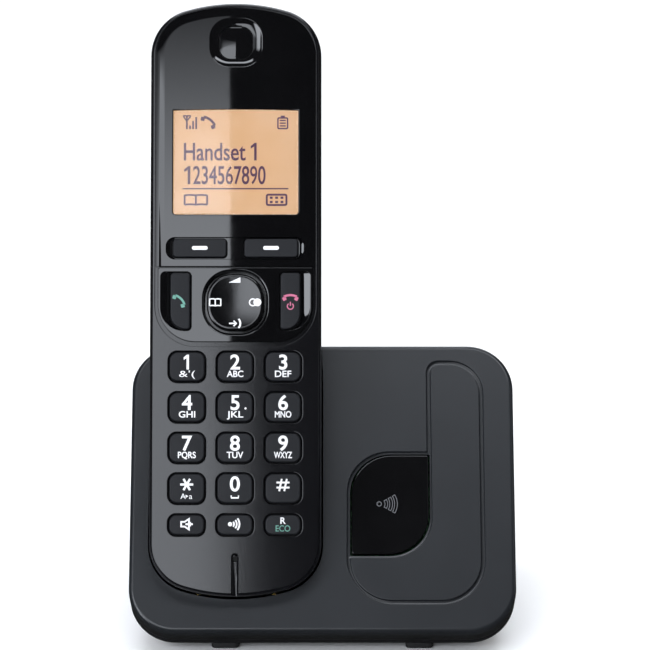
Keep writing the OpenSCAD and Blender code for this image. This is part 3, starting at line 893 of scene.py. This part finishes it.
def draw_handset(marks, x, y, size, degrees):
    """A telephone receiver: a bowed grip between two square ends."""
    grip = arc((0, -0.8), 0.92, 118, 62, 12)
    marks.stroke(turned(grip, x, y, degrees, size), 0.15 * size)
    for side in (-1, 1):
        end = turned(rect(0, 0, 0.24, 0.25, 0.05, 3), side * 0.4, -0.12, side * -26)
        marks.shape(turned(end, x, y, degrees, size))


def draw_book(marks, x, y, w, h, width):
    """An open book seen from the front: two bowed pages."""
    for side in (-1, 1):
        bow = arc((x + side * w / 4, y - h * 0.02), w * 0.3, 146, 34, 8)
        top = [Vector((p.x, y + h * 0.32 + (p.y - y) * 0.35 * h / w)) for p in bow]
        marks.stroke(top, width)
        marks.stroke([p - Vector((0, h * 0.8)) for p in top], width)
        outer = x + side * w / 2
        marks.line(width, (outer, y - h * 0.42), (outer, y + h * 0.42))
    marks.line(width, (x, y - h / 2), (x, y + h * 0.4))


# ---- Handset ----


def front_case():
    """Front shell: satin keypad face, rolled edge, recess for the gloss panels."""
    skin = Skin()
    outer = edge(1.15, 5, 12) + [(d, PARTING + n) for d, n in HAND_LIP]
    face, ceiling = skin.wall(handset_outline(), outer + [(-WALL, PARTING), (-WALL, -FRONT_WALL)])
    keys = [digit(col, row) for col in range(3) for row in range(4)]
    keys = [offset(outline, KEY_GAP) for outline in keys + [function_key(col) for col in range(3)]]
    tops, bottoms = skin.shafts(keys, edge(0.3, 0.3, 5, side=1) + [(0, -FRONT_WALL)])
    lip = edge(0.09, 0.09, 4, side=1) + [(0, LEDGE_N)]
    recess, ledge = skin.wall(inlay(INLAY_HALF, INLAY_HALF, NAV_LOW - GROOVE, 11.4), lip)
    lower = inlay(BEZEL_HALF + 0.1, NAV_HALF + 0.1, NAV_LOW - 0.1, 10.6)
    step, floor = skin.wall(lower, [(0, LEDGE_N), (0, -PANEL_T)])
    skin.fill(face, [*tops, recess])
    skin.fill(ledge, [step])
    through = [rect(0, WINDOW_Y, 37.6, 32.6, 1), rect(0, EAR_Y, 9.8, 9.7, 3.4), nav(0.7)]
    through += [call(side, KEY_GAP) for side in SIDES] + [soft(side, KEY_GAP) for side in SIDES]
    heads, tails = skin.shafts(through, [(0, -PANEL_T), (0, -FRONT_WALL)])
    skin.fill(floor, heads)
    skin.fill(ceiling, bottoms + tails)
    slit = [(0, 0.4), (0, -0.3), (-0.08, -0.7), (-0.3, -1.05), (-0.7, -1.3)]
    slit = Skin().solid(rect(0, 5.2, 2.1, 14, 1.0), slit).mesh("slit")
    mesh = carve(skin.mesh("front_case"), slit, prism(circle(0, MIC_Y, 0.9), -3, -1))
    show("front_case", mesh, "handset", "front_case", "handset_front_case")


def microphone_cloth():
    """Woven dust screen at the bottom of the microphone's hole."""
    skin = Skin().solid(circle(0, MIC_Y, 0.86), [(0, -2.15), (0, -1.95), (-0.05, -1.9)])
    skin.show("microphone_cloth", "handset", "keypad_rubber", finish=FINISHES["foot_rubber"])


def rear_case():
    """Rear shell with a deep rolled back, the battery cover's recess and the ringer slots."""
    skin = Skin()
    outside = [(d, PARTING - n) for d, n in HAND_LIP[::-1]] + quarter_roll(BACK_ROLL, 14)
    lip, back = skin.wall(handset_outline(), outside + [(-BACK_ROLL - 0.1, -DEPTH)])
    roll = BACK_ROLL - WALL
    within = [(-WALL, PARTING)]
    for a in quarter(4):
        within.append((-WALL - roll * (1 - math.cos(a)), SHOULDER + 0.3 - (roll - 1.5) * math.sin(a)))
    _, inner = skin.wall(handset_outline(), within, lip)
    mouth = [(d, -DEPTH - n) for d, n in edge(0.25, 0.25, 4, side=1)]
    slots = [rect(0, RINGER_Y + 2.4 * i, 14 - 1.1 * abs(i), 1.1, 0.5, 5) for i in range(-3, 4)]
    tops, bottoms = skin.shafts(slots, mouth + [(0, skin.points[inner[0]][2])])
    skin.fill(back, tops)
    skin.fill(inner, bottoms)
    pads = [prism(rect(side * PAD_X, 0, 4.2, 9, 0.4), -20.1, -15.9) for side in SIDES]
    mesh = carve(skin.mesh("rear_case"), cover_recess(), *pads)
    show("rear_case", mesh, "handset", "rear_case", "handset_rear_case")


def quarter_roll(radius, steps):
    """Profile of the handset's rolled back."""
    return [(-radius * (1 - math.cos(a)), SHOULDER - radius * math.sin(a)) for a in quarter(steps)]


def cover_recess():
    """Tool for the battery cover's recess; its mouth flares into a rounded edge."""
    height = COVER_HIGH - COVER_LOW + COVER_TRAVEL + 0.5
    outline = rect(0, (COVER_LOW + COVER_HIGH - COVER_TRAVEL) / 2, COVER_W + 0.5, height, 4)
    flare = [(0.9, -0.6), (0.3, 0), (0.12, 0.12), (0, 0.3), (0, 1.6)]
    return Skin().solid(outline, [(d, n - DEPTH) for d, n in flare]).mesh("cover_recess")


def battery_cover():
    """Sliding cover with a rounded edge and five grip ribs."""
    skin = Skin()
    outline = rect(0, (COVER_LOW + COVER_HIGH) / 2, COVER_W, COVER_HIGH - COVER_LOW, 4, 14)
    flipped = [(d, -DEPTH - n) for d, n in edge(0.35, 0.35, 5)]
    face, inner = skin.wall(outline, flipped + [(0, -DEPTH + 1.5)])
    ribs = [rect(0, COVER_HIGH - 13.6 + 1.6 * i, 10, 0.8, 0.34, 5) for i in range(5)]
    dip = [(d, n - DEPTH) for d, n in ((0.1, 0), (0, 0.1), (-0.08, 0.36), (-0.2, 0.45))]
    tops, bottoms = skin.shafts(ribs, dip)
    skin.fill(face, tops)
    for ring in (*bottoms, inner):
        skin.fill(ring)
    skin.show("battery_lid", "battery_cover", "rear_case", "battery_cover")


def display_bezel():
    """Gloss bezel that rolls off towards its sides, with the ear dish and the soft keys' trough."""
    skin = Skin()
    roll_w, drop = 2.3, 0.24
    sections = [(bezel(roll_w + 0.05), 0)]
    sections += [(bezel(roll_w * (1 - t / 10)), -drop * (t / 10) ** 2) for t in range(11)]
    face, under = skin.loft(sections + [(bezel(0), -PANEL_T)])
    glass, glass_low = skin.wall(window(), edge(0.25, 0.25, 5, side=1) + [(0, -PANEL_T)])
    mouth, bed = rect(0, SOFT_Y, 38.9, 6.2, 2.5), rect(0, SOFT_Y, 35.8, 5.9, 1.6)
    sink = [(between(mouth, bed, t / 5), -0.05 - 0.7 * (t / 5) ** 0.8) for t in range(6)]
    trough, trough_floor = skin.loft([(offset(mouth, 0.1), 0), (offset(mouth, 0.06), 0)] + sink)
    keys = [soft(side, KEY_GAP - 0.05) for side in SIDES]
    tops, lows = skin.shafts(keys, [(0, -0.75), (0, -PANEL_T)])
    rim, hole = rect(0, EAR_Y, 14.9, 13.9, 5.6, 16), rect(0, EAR_Y, 9.6, 9.5, 3.3, 16)
    bowl = [(offset(rim, 0.05), 0)]
    bowl += [(between(rim, hole, t / 12), -0.9 * (1 - (1 - t / 12) ** 1.8)) for t in range(13)]
    dish, dish_low = skin.loft(bowl + [(hole, -PANEL_T)])
    skin.fill(trough_floor, tops)
    skin.fill(face, [glass, trough, dish])
    skin.fill(under, [glass_low, dish_low, *lows])
    skin.show("bezel", "handset", "black_gloss", "display_bezel")


def navigation_panel():
    """Gloss panel with a funnel round the rocker and a scoop beside each call key."""
    skin = Skin()
    sides = corners(-NAV_HALF, NAV_LOW, NAV_HALF, SEAM - 0.15, (10.5, 10.5, 0.6, 0.6))
    face, under = skin.wall(rounded(sides, 16), edge(0.2, 0.2, 6) + [(0, -PANEL_T)])
    funnel = [(1.45, 0), (1.4, 0), (1.32, -0.03), (0.74, -0.38), (0.7, -0.46), (0.7, -PANEL_T)]
    holes = [skin.loft([(nav(grow), n) for grow, n in funnel])]
    for side in SIDES:
        wide, narrow = call(side, 0.4, 2.4), call(side, KEY_GAP)
        sections = [(offset(wide, 0.12), 0), (offset(wide, 0.08), 0)]
        sections += [(between(wide, narrow, t / 6), -0.06 - 0.94 * t / 6) for t in range(7)]
        holes.append(skin.loft(sections + [(narrow, -PANEL_T)]))
    skin.fill(face, [top for top, _ in holes])
    skin.fill(under, [low for _, low in holes])
    skin.show("navigation_panel", "handset", "black_gloss", "nav_panel")


def receiver_cap():
    skin = Skin()
    low, top = skin.wall(rect(0, EAR_Y, 9, 8.9, 3.0, 16), [(0, -2.6), (0, -0.8)])
    skin.fill(low)
    skin.dome(top, 0.5, 12)
    skin.show("ear_cap", "handset", "black_gloss", "receiver_cap")


def window_lens():
    skin = Skin().solid(offset(window(), -0.1), edge(0.2, 0.2, 4, -0.25) + [(0, -0.9)])
    skin.show("window_lens", "handset", "display_window", "display_lens")


def display_marks():
    """Generic standby screen: signal, receiver, battery, a word, ten digits and two soft key icons."""
    marks = Marks(lambda x, y: LCD_FACE + 0.05, 0.03)
    marks.line(0.5, (-13.75, 131), (-13.75, 134.8))
    marks.line(0.4, (-14.8, 134.75), (-12.65, 134.75))
    marks.line(0.36, (-14.75, 134.6), (-13.85, 133.4))
    marks.line(0.36, (-12.7, 134.6), (-13.65, 133.4))
    for i, top in enumerate((132.0, 133.3, 134.4)):
        marks.line(0.5, (-12.85 + 0.86 * i, 131), (-12.85 + 0.86 * i, top))
    draw_handset(marks, -7.5, 133.2, 4.6, -38)
    marks.loop(rect(13.15, 132.65, 2.7, 3.0, 0.3, 3), 0.4)
    marks.shape(rect(13.15, 134.55, 1.2, 0.5, 0.1, 3))
    for i in range(3):
        marks.line(0.36, (12.3, 131.9 + 0.78 * i), (14.0, 131.9 + 0.78 * i))
    marks.text("Handset", 4.85, -14.5, 122.2, 0.06, 17.2, 0)
    marks.one(4.85, 5.3, 122.2, 0.06)
    marks.one(4.95, -13.3, 115.5, 0.06)
    marks.text("234567890", 4.95, -11.9, 115.5, 0.06, 20.2, 0)
    marks.line(0.36, (-14.85, 114.15), (14.75, 114.15))
    draw_book(marks, -11.15, 111.0, 6.3, 3.3, 0.5)
    marks.loop(rect(11.45, 111.0, 5.5, 2.9, 0.4, 3), 0.55)
    for col in range(3):
        for row in range(2):
            marks.shape(rect(9.95 + 1.5 * col, 110.4 + 1.2 * row, 0.8, 0.65, 0.08, 3))
    marks.piece("display_marks", "handset", LCD_INK, "amber_display")


def key_cap(name, outline, crown=KEY_CROWN, roll=0.45):
    """A key cap on its retaining flange: rolled edge and slightly crowned top."""
    skin = Skin()
    stem = [(0.6, 0), (0.6, 1.05), (0.5, 1.15), (0, 1.15)]
    rise = edge(roll, roll, 7, KEY_TOP - crown)[::-1]
    low, high = skin.wall(outline, [(d, KEY_FOOT + n) for d, n in stem] + rise)
    skin.fill(low)
    skin.dome(high, crown)
    skin.show(name + "_cap", name, "key_plastic", name)


def key_marks(col, y, height):
    """Marks round the middle of a key of the keypad."""
    x = (col - 1) * PITCH_X
    return Marks(crowned(x, y, KEY_W / 2 - 0.5, height / 2 - 0.5, KEY_CROWN), at=(x, y))


def crowned(x0, y0, half_w, half_h, crown):
    """Height of a crowned key top at a point."""

    def level(x, y):
        t4 = min(1.0, ((x - x0) / half_w) ** 4 + ((y - y0) / half_h) ** 4)
        return KEY_TOP - crown * math.sqrt(t4) + 0.004

    return level


LEGENDS = {
    "key_1": "&'(", "key_2": "ABC", "key_3": "DEF", "key_4": "GHI", "key_5": "JKL", "key_6": "MNO",
    "key_7": "PQRS", "key_8": "TUV", "key_9": "WXYZ", "key_star": "", "key_0": "", "key_hash": "",
}


def five_dot(marks):
    marks.dot(2.9, -0.35, 0.3)


def space_bar(marks):
    marks.line(0.42, (-1, -1.95), (-1, -2.6), (1, -2.6), (1, -1.95))


def star(marks):
    """Star above the sign for changing between capitals and small letters."""
    for angle in (0, 60, 120):
        marks.stroke(turned(vectors((-1.8, 0), (1.8, 0)), 0, 1.1, angle), 0.6)
    marks.text("A", 1.5, -1.0, -2.9)
    marks.shape(vectors((-0.3, -2.6), (0.45, -2.15), (-0.3, -1.7)))
    marks.text("a", 1.5, 1.1, -2.9)


def hash_sign(marks):
    for shift in (-0.7, 0.7):
        marks.line(0.5, (-1.8, 0.95 + shift), (1.8, 0.95 + shift))
        marks.line(0.5, (shift - 0.35, -0.75), (shift + 0.35, 2.65))


EXTRAS = {"key_5": five_dot, "key_0": space_bar, "key_star": star, "key_hash": hash_sign}


def digit_keys():
    """The twelve keys of the telephone keypad with their legends."""
    for i, (name, letters) in enumerate(LEGENDS.items()):
        col, row = i % 3, i // 3
        key_cap(name, digit(col, row))
        marks = key_marks(col, TOP_ROW - row * PITCH_Y, KEY_H)
        sign = name[-1]
        if sign == "1":
            marks.one(DIGIT_H, 0, -0.7, 0.1)
        elif sign.isdigit():
            marks.text(sign, DIGIT_H, 0, -0.7, 0.11)
        if letters:
            width = 4.9 if len(letters) == 4 else 4.5
            marks.text(letters, 1.7, 0, -2.85, 0.04 if letters.isalpha() else 0.0, width)
        EXTRAS.get(name, lambda marks: None)(marks)
        marks.piece(name + "_legend", name)


def function_keys():
    """Loudspeaker, intercom and recall keys."""
    names = ("key_speaker", "key_intercom", "key_recall")
    tops = [key_marks(col, FUNCTION_ROW, FUNCTION_H) for col in range(3)]
    for col, name in enumerate(names):
        key_cap(name, function_key(col))
    left = vectors((-1.5, -0.45), (-0.55, -0.45), (0.65, -1.25))
    tops[0].loop(left + vectors((0.65, 1.65), (-0.55, 0.85), (-1.5, 0.85)), 0.45)
    tops[0].line(0.5, (-0.3, 0.2), (1.7, 0.2))
    tops[0].line(0.4, (1.0, -0.4), (1.0, 0.8))
    tops[0].piece("speaker_legend", names[0])
    tops[1].dot(-1.3, 0.2, 0.6)
    for k in range(3):
        tops[1].stroke(arc((-1.3, 0.2), 2.6 * (0.42 + 0.29 * k), -38, 38, 10), 0.45)
    tops[1].piece("intercom_legend", names[1])
    tops[2].text("R", 1.75, 0, 0.3, 0.07)
    tops[2].piece("recall_legend", names[2])
    marks = key_marks(2, FUNCTION_ROW, FUNCTION_H)
    marks.text("ECO", 1.65, 0, -1.8, 0.02, 4.0)
    marks.piece("eco_legend", names[2], PRINT_GREEN)


def call_keys():
    """Talk key with a green receiver and end key with a pink one."""

    def level(x, y):
        return KEY_TOP - 0.016

    for side, name in zip(SIDES, ("talk_key", "end_key")):
        key_cap(name, call(side), 0.06)
    marks = Marks(level, at=(-CALL_X, NAV_Y))
    draw_handset(marks, -0.1, 0.6, 4.2, -46)
    marks.piece("talk_legend", "talk_key", PRINT_GREEN)
    marks = Marks(level, 0.12, (-CALL_X, NAV_Y))
    marks.dot(-0.2, -2.7, 0.28)
    marks.piece("talk_dot", "talk_key", FINISHES["key_plastic"])
    marks = Marks(level, at=(CALL_X, NAV_Y))
    draw_handset(marks, 0, 1.5, 4.2, 0)
    marks.stroke(arc((0, -1.1), 0.85, 125, 415, 20), 0.32)
    marks.line(0.32, (0, -1.0), (0, 0.15))
    marks.piece("end_legend", "end_key", PRINT_PINK)


def soft_keys():
    for side, name in zip(SIDES, ("soft_key_left", "soft_key_right")):
        key_cap(name, soft(side), 0.05, 0.35)
        marks = Marks(crowned(side * SOFT_X, SOFT_Y, 7, 2, 0.05), at=(side * SOFT_X, SOFT_Y))
        marks.shape(rect(0, 0, 4.4, 1.05, 0.5, 6))
        marks.piece(name + "_mark", name)


def rocker():
    """The navigation rocker: a dished square with a fine rim."""
    skin = Skin()
    stem = [(0.9, KEY_FOOT), (0.9, -3.05), (0.8, -2.95), (0, -2.95)]
    bevel = [(0, -0.36), (-0.04, -0.3), (-0.38, -0.09), (-0.45, -0.05), (-0.52, -0.02), (-ROCKER_RIM, 0)]
    low, high = skin.wall(nav(), stem + [(d, ROCKER_TOP + n) for d, n in bevel])
    skin.fill(low)
    skin.dome(high, -ROCKER_DISH, 14)
    skin.show("rocker", "nav_key", "rocker_gloss", "nav_key")
    half = NAV_W / 2 - ROCKER_RIM

    def dished(x, y):
        reach = min(1.0, (x / half) ** 4 + ((y - NAV_Y) / half) ** 4)
        return ROCKER_TOP - ROCKER_DISH * (1 - math.sqrt(reach)) + 0.01

    marks = Marks(dished, at=(0, NAV_Y))
    marks.shape(vectors((-1.9, 5.5), (1.4, 5.5), (1.4, 7.0)))
    draw_book(marks, -5.6, 0, 3.1, 2.3, 0.34)
    marks.loop(circle(4.9, 0, 0.95), 0.35)
    marks.dot(6.15, 0, 1.1)
    marks.line(0.4, (-1.7, -5.9), (0.4, -5.9))
    marks.line(0.4, (-0.45, -5.15), (0.35, -5.9), (-0.45, -6.65))
    marks.stroke(arc((-0.5, -5.9), 1.9, -42, 42, 10), 0.5)
    marks.piece("rocker_icons", "nav_key", slot="rocker_gloss")


# ---- Base ----


def pocket(grow):
    """Space that the handset's body sweeps on its way in, grown by a margin."""
    outline = arch(-grow) + vectors((HALF_W + grow, LENGTH), (-HALF_W - grow, LENGTH))
    return Skin().solid(outline, [(0, 30)] + quarter_roll(BACK_ROLL + grow, 12)).mesh("pocket")


def top_cover():
    """Sloping cover: rolled rim, hook groove, key opening and the handset's pocket."""
    skin = Skin()
    outer = edge(EDGE_ROLL, EDGE_DROP, 8) + [(d, n - TOP_T) for d, n in BASE_LIP]
    face, ceiling = skin.wall(slab(), outer + [(-BASE_WALL, -TOP_T), (-BASE_WALL, -BASE_WALL)])
    deep = [(0, -0.45), (0.08, -0.68), (0.25, -GROOVE_DEPTH)]
    lip = edge(0.16, 0.16, 5, side=1) + [(-d, n) for d, n in deep]
    outside, outside_low = skin.wall(groove_outside(), lip)
    island, island_low = skin.wall(groove_island(), edge(0.16, 0.16, 5) + deep)
    opening, opening_low = skin.loft([(leaf(0.5), -GROOVE_DEPTH), (leaf(0.5), -BASE_WALL)])
    skin.fill(face, [outside])
    skin.fill(island)
    skin.fill(outside_low, [island_low, opening])
    skin.fill(ceiling, [opening_low])
    under_face = prism(slab(0.5), -SLAB_T - 24, -1, FACE)
    above_floor = prism(rect(0, 50, 198, 298, 0.3, 2), CUP_LOW, 99, DESK)
    cup = carve(pocket(POCKET_GAP + LINER), under_face, above_floor, how="INTERSECT")
    mesh = carve(skin.mesh("top_cover", FACE), cup, how="UNION")
    slots = [prism(rect(side * PAD_X, 0, 3.8, 12, 0.3), -18.8, -17.2) for side in SIDES]
    mesh = carve(mesh, pocket(POCKET_GAP), *slots)
    show("top_cover", mesh, "base", "base_cover", "base_top_cover")


def lower_hull(inset):
    """Body of the lower cover, drawn in from the slab to a narrower footprint and a jack wall."""
    points = []
    for n in (-SLAB_T - 0.4 - inset / 4, -SLAB_T + 1):
        points += [FACE @ Vector((p.x, p.y, n)) for p in slab(1 + inset)]
    front, back = 48 - inset, 42 - inset
    low, high = 10.6 + inset, BASE_DEPTH - inset
    foot = rounded([(-front, low, 16), (front, low, 16), (back, high, 10), (-back, high, 10)], 14)
    wall = rect(0, BASE_DEPTH - 12 - inset, 84 - 2 * inset, 24, 10, 14)
    top = JACK_WALL_H - 2 * inset
    levels = [(foot, -1.1, 0), (foot, -0.35, 0.3), (foot, 0, 1.1)]
    levels += [(wall, 0, top - 1.8), (wall, -0.5, top - 0.5), (wall, -1.8, top)]
    for outline, d, rise in levels:
        points += [DESK @ Vector((p.x, p.y, FEET_H + inset + rise)) for p in offset(outline, d)]
    mesh = bpy.data.meshes.new("lower_hull")
    work = bmesh.new()
    bmesh.ops.convex_hull(work, input=[work.verts.new(p) for p in points])
    bmesh.ops.delete(work, geom=[v for v in work.verts if not v.link_faces], context="VERTS")
    work.to_mesh(mesh)
    work.free()
    return tidy(mesh)


def rim_ring():
    """Rim of the lower cover, between the parting line and the body."""
    skin = Skin()
    outer = [(d, -TOP_T - n) for d, n in BASE_LIP[::-1]]
    outer += [(d, n - SLAB_T) for d, n in ((0, 0.8), (-0.25, 0.2), (-0.9, 0), (-4, 0))]
    top, low = skin.wall(slab(), outer)
    _, shelf = skin.wall(slab(), [(-BASE_WALL, -TOP_T), (-BASE_WALL, -SLAB_T + 1)], top)
    skin.fill(low)
    skin.fill(shelf)
    return skin.mesh("rim_ring", FACE)


def bottom_cover():
    """Lower cover with its rim, sockets and recessed screws."""
    mesh = carve(rim_ring(), lower_hull(0), how="UNION")
    mesh = carve(mesh, lower_hull(BASE_WALL), prism(slab(BASE_WALL), -SLAB_T - 0.3, -TOP_T + 1, FACE))
    upright = Matrix.Rotation(math.radians(90), 4, "X") @ Matrix.Scale(MM, 4)
    back = Matrix.Translation((0, FRONT_Y + BASE_DEPTH * MM, 0)) @ upright
    mesh = carve(mesh, prism(circle(-JACK_X, JACK_Z, 6, 30), 1, 5, back), how="UNION")
    supply = prism(circle(-JACK_X, JACK_Z, 4.5, 45), -2, 6, back)
    mesh = carve(mesh, supply, prism(rect(JACK_X, JACK_Z, 13.7, 13.35, 0.5, 5), -2, 6, back))
    for x, y in SCREW_SPOTS:
        tower = prism(circle(x, y, 4.2, 30), FEET_H + 0.5, FEET_H + 4, DESK)
        head = prism(circle(x, y, 3, 30), -1, FEET_H + 3, DESK)
        shank = prism(circle(x, y, 1.6, 30), 0, 12, DESK)
        mesh = carve(carve(mesh, tower, how="UNION"), head, shank)
    show("bottom_cover", mesh, "base", "bottom_cover", "base_bottom_cover")


def feet():
    """Four moulded rubber pads."""
    skin = Skin()
    profile = [(-0.4, 0), (-0.12, 0.12), (0, 0.4), (0, FEET_H)]
    for x in (-27.2, 27.2):
        for y in (14, 80):
            skin.solid(rect(x, y, FOOT_W, FOOT_D, 1.5, 8), profile)
    skin.show("rubber_feet", "base", "foot_rubber", "base_feet", where=DESK)


def locator_key():
    """Leaf-shaped key with a raised outline of radio waves, coloured light grey as a painted highlight of the glints
    on that gloss outline.
    """
    skin = Skin().solid(leaf(), [(0, -1.8)] + edge(0.3, 0.3, 6, 0.1)[::-1])
    skin.show("locator_leaf", "locator_key", "locator_gloss", "locator_key", where=FACE)
    marks = Marks(lambda x, y: 0.12, 0.07, WAVES_AT)
    marks.loop(circle(0.2, 0, 0.62), 0.22)
    for k in range(3):
        reach = 2.2 + 1.35 * k
        band = arc((0, 0), reach + 0.38, -30, 30, 10) + arc((0, 0), reach - 0.38, 30, -30, 10)
        marks.loop(band, 0.2)
    # The outline is gloss black like the key; its light grey finish is a painted highlight.
    marks.piece("locator_icon", "locator_key", PAINTED_HIGHLIGHT_GREY, "locator_gloss", FACE)


def line_contacts():
    """Four sprung wires in the line socket, as fine bent rods."""
    curve = bpy.data.curves.new("line_contacts", "CURVE")
    curve.dimensions = "3D"
    curve.bevel_depth = 0.22 * MM
    curve.bevel_resolution = 3
    route = ((3.2, 12.6), (4.5, 12.9), (8.5, 11.2), (9.8, 9.6), (10.6, 9.0))
    for i in range(4):
        wire = curve.splines.new("BEZIER")
        wire.bezier_points.add(len(route) - 1)
        for point, (deep, z) in zip(wire.bezier_points, route):
            point.co = DESK @ Vector((JACK_X - 1.53 + 1.02 * i, BASE_DEPTH - deep, z))
            point.handle_left_type = point.handle_right_type = "AUTO"
    show("line_contacts", curve, "base", "contact_metal")


# ---- Stage, light and camera ----


# X of the left soft box's right edge, in metres
SPLIT_X = -0.052
WORLD_FILL = 0.85
WORLD_GLOSS = 0.03
LIGHT_COLOUR = (0.93, 0.975, 1.05, 1)


def panel(name, low, high):
    """A rectangle of the stage, in metres."""
    mesh = bpy.data.meshes.new(name)
    spots = [(*low, 0), (high[0], low[1], 0), (*high, 0), (low[0], high[1], 0)]
    mesh.from_pydata(spots, [], [(0, 1, 2, 3)])
    obj = bpy.data.objects.new(name, mesh)
    bpy.context.scene.collection.objects.link(obj)
    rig.stage(obj)
    return obj


def emitter(name, at, facing, width, height, strength, fade):
    """A soft box: a panel that glows evenly and fades by the given shares at left, right, low, high."""
    obj = panel(name, (-width / 2, -height / 2), (width / 2, height / 2))
    obj.location = at
    obj.rotation_mode = "QUATERNION"
    obj.rotation_quaternion = (Vector(at) - Vector(facing)).to_track_quat("Z", "Y")
    obj.visible_camera = False
    mat = bpy.data.materials.new(name)
    mat.use_nodes = True
    tree = mat.node_tree
    tree.nodes.clear()
    split = add_node(tree, "SeparateXYZ")
    tree.links.new(add_node(tree, "TexCoord").outputs["Object"], split.inputs["Vector"])
    level = None
    for axis, end, share in zip("XXYY", (-width / 2, width / 2, -height / 2, height / 2), fade):
        if share:
            node = add_node(tree, "MapRange", From_Min=end, From_Max=end * (1 - 2 * share), To_Max=strength)
            node.interpolation_type = "SMOOTHSTEP"
            tree.links.new(split.outputs[axis], node.inputs["Value"])
            if level is not None:
                tree.links.new(level, node.inputs["To Max"])
            level = node.outputs["Result"]
    glow = add_node(tree, "Emission", Color=LIGHT_COLOUR)
    tree.links.new(level, glow.inputs["Strength"])
    tree.links.new(glow.outputs["Emission"], add_node(tree, "OutputMaterial").inputs["Surface"])
    obj.data.materials.append(mat)


def surroundings():
    """White backdrop that lights softly and shows only faintly in gloss surfaces."""
    world = bpy.data.worlds.new("studio")
    bpy.context.scene.world = world
    world.use_nodes = True
    tree = world.node_tree
    back = tree.nodes["Background"]
    back.inputs["Color"].default_value = (1, 1, 1, 1)
    path = add_node(tree, "LightPath")
    level = add_node(tree, "MapRange", To_Min=WORLD_FILL, To_Max=WORLD_GLOSS)
    tree.links.new(path.outputs["Is Glossy Ray"], level.inputs["Value"])
    tree.links.new(level.outputs["Result"], back.inputs["Strength"])


def floor():
    obj = panel("floor", (-6, -3), (6, 9))
    obj.visible_glossy = False
    finish = Finish("floor_paint", Roughness=0.9, Specular_IOR_Level=0.1)
    finish.colours(finish.noise(3, 1), "#f6f6f6", "#f9f9f9")
    obj.data.materials.append(finish.material)


def camera():
    """Camera a metre in front of the telephone and a little above it."""
    lens = bpy.data.cameras.new("camera")
    lens.lens = 199.9
    lens.sensor_width = 36
    lens.clip_start = 0.05
    lens.clip_end = 50
    obj = bpy.data.objects.new("camera", lens)
    obj.location = (0.0007, -0.9851, 0.3584)
    obj.rotation_euler = (math.radians(90 - 15.53), 0, 0)
    bpy.context.scene.collection.objects.link(obj)
    bpy.context.scene.camera = obj


def lighting():
    """A soft box at the left whose edge falls on the bezel's middle, and one each from the side,
    overhead, behind and the right."""
    middle = Vector((-0.0243, -0.015, 0.1))
    left = Vector((SPLIT_X - 0.3, -0.989, 0.393))
    even = (0.1, 0.1, 0.1, 0.1)
    emitter("box_left", left, left + Vector((0, 0.883, -0.47)), 0.6, 0.76, 4.9, (0.5, 0, 0.1, 0.237))
    emitter("box_side", (-0.7, -0.63, 0.25), middle, 0.44, 1, 8, (0.2, 0.25, 0.2, 0.2))
    emitter("box_top", (0.05, -0.24, 0.78), (0.05, -0.24, 0), 0.9, 0.26, 9, (0.1, 0.1, 0.35, 0.2))
    emitter("box_back", (0, 0.95, 0.8), middle, 1.2, 0.5, 4, even)
    emitter("box_right", (0.95, 0.1, 0.3), middle, 0.18, 0.6, 1.2, even)


def build():
    carried_nodes()
    pieces = (front_case, microphone_cloth, rear_case, battery_cover, display_bezel, navigation_panel)
    pieces += (receiver_cap, window_lens, display_marks, digit_keys, function_keys, call_keys, soft_keys)
    pieces += (rocker, top_cover, bottom_cover, feet, locator_key, line_contacts)
    for make in pieces:
        make()


build()
surroundings()
floor()
camera()
lighting()
bpy.context.scene.view_settings.view_transform = "Standard"
visual_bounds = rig.bounds()
with open("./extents.json", "w") as sizes:
    json.dump({"cad": [list(p) for p in cad_bounds], "visual": [list(p) for p in visual_bounds]}, sizes)
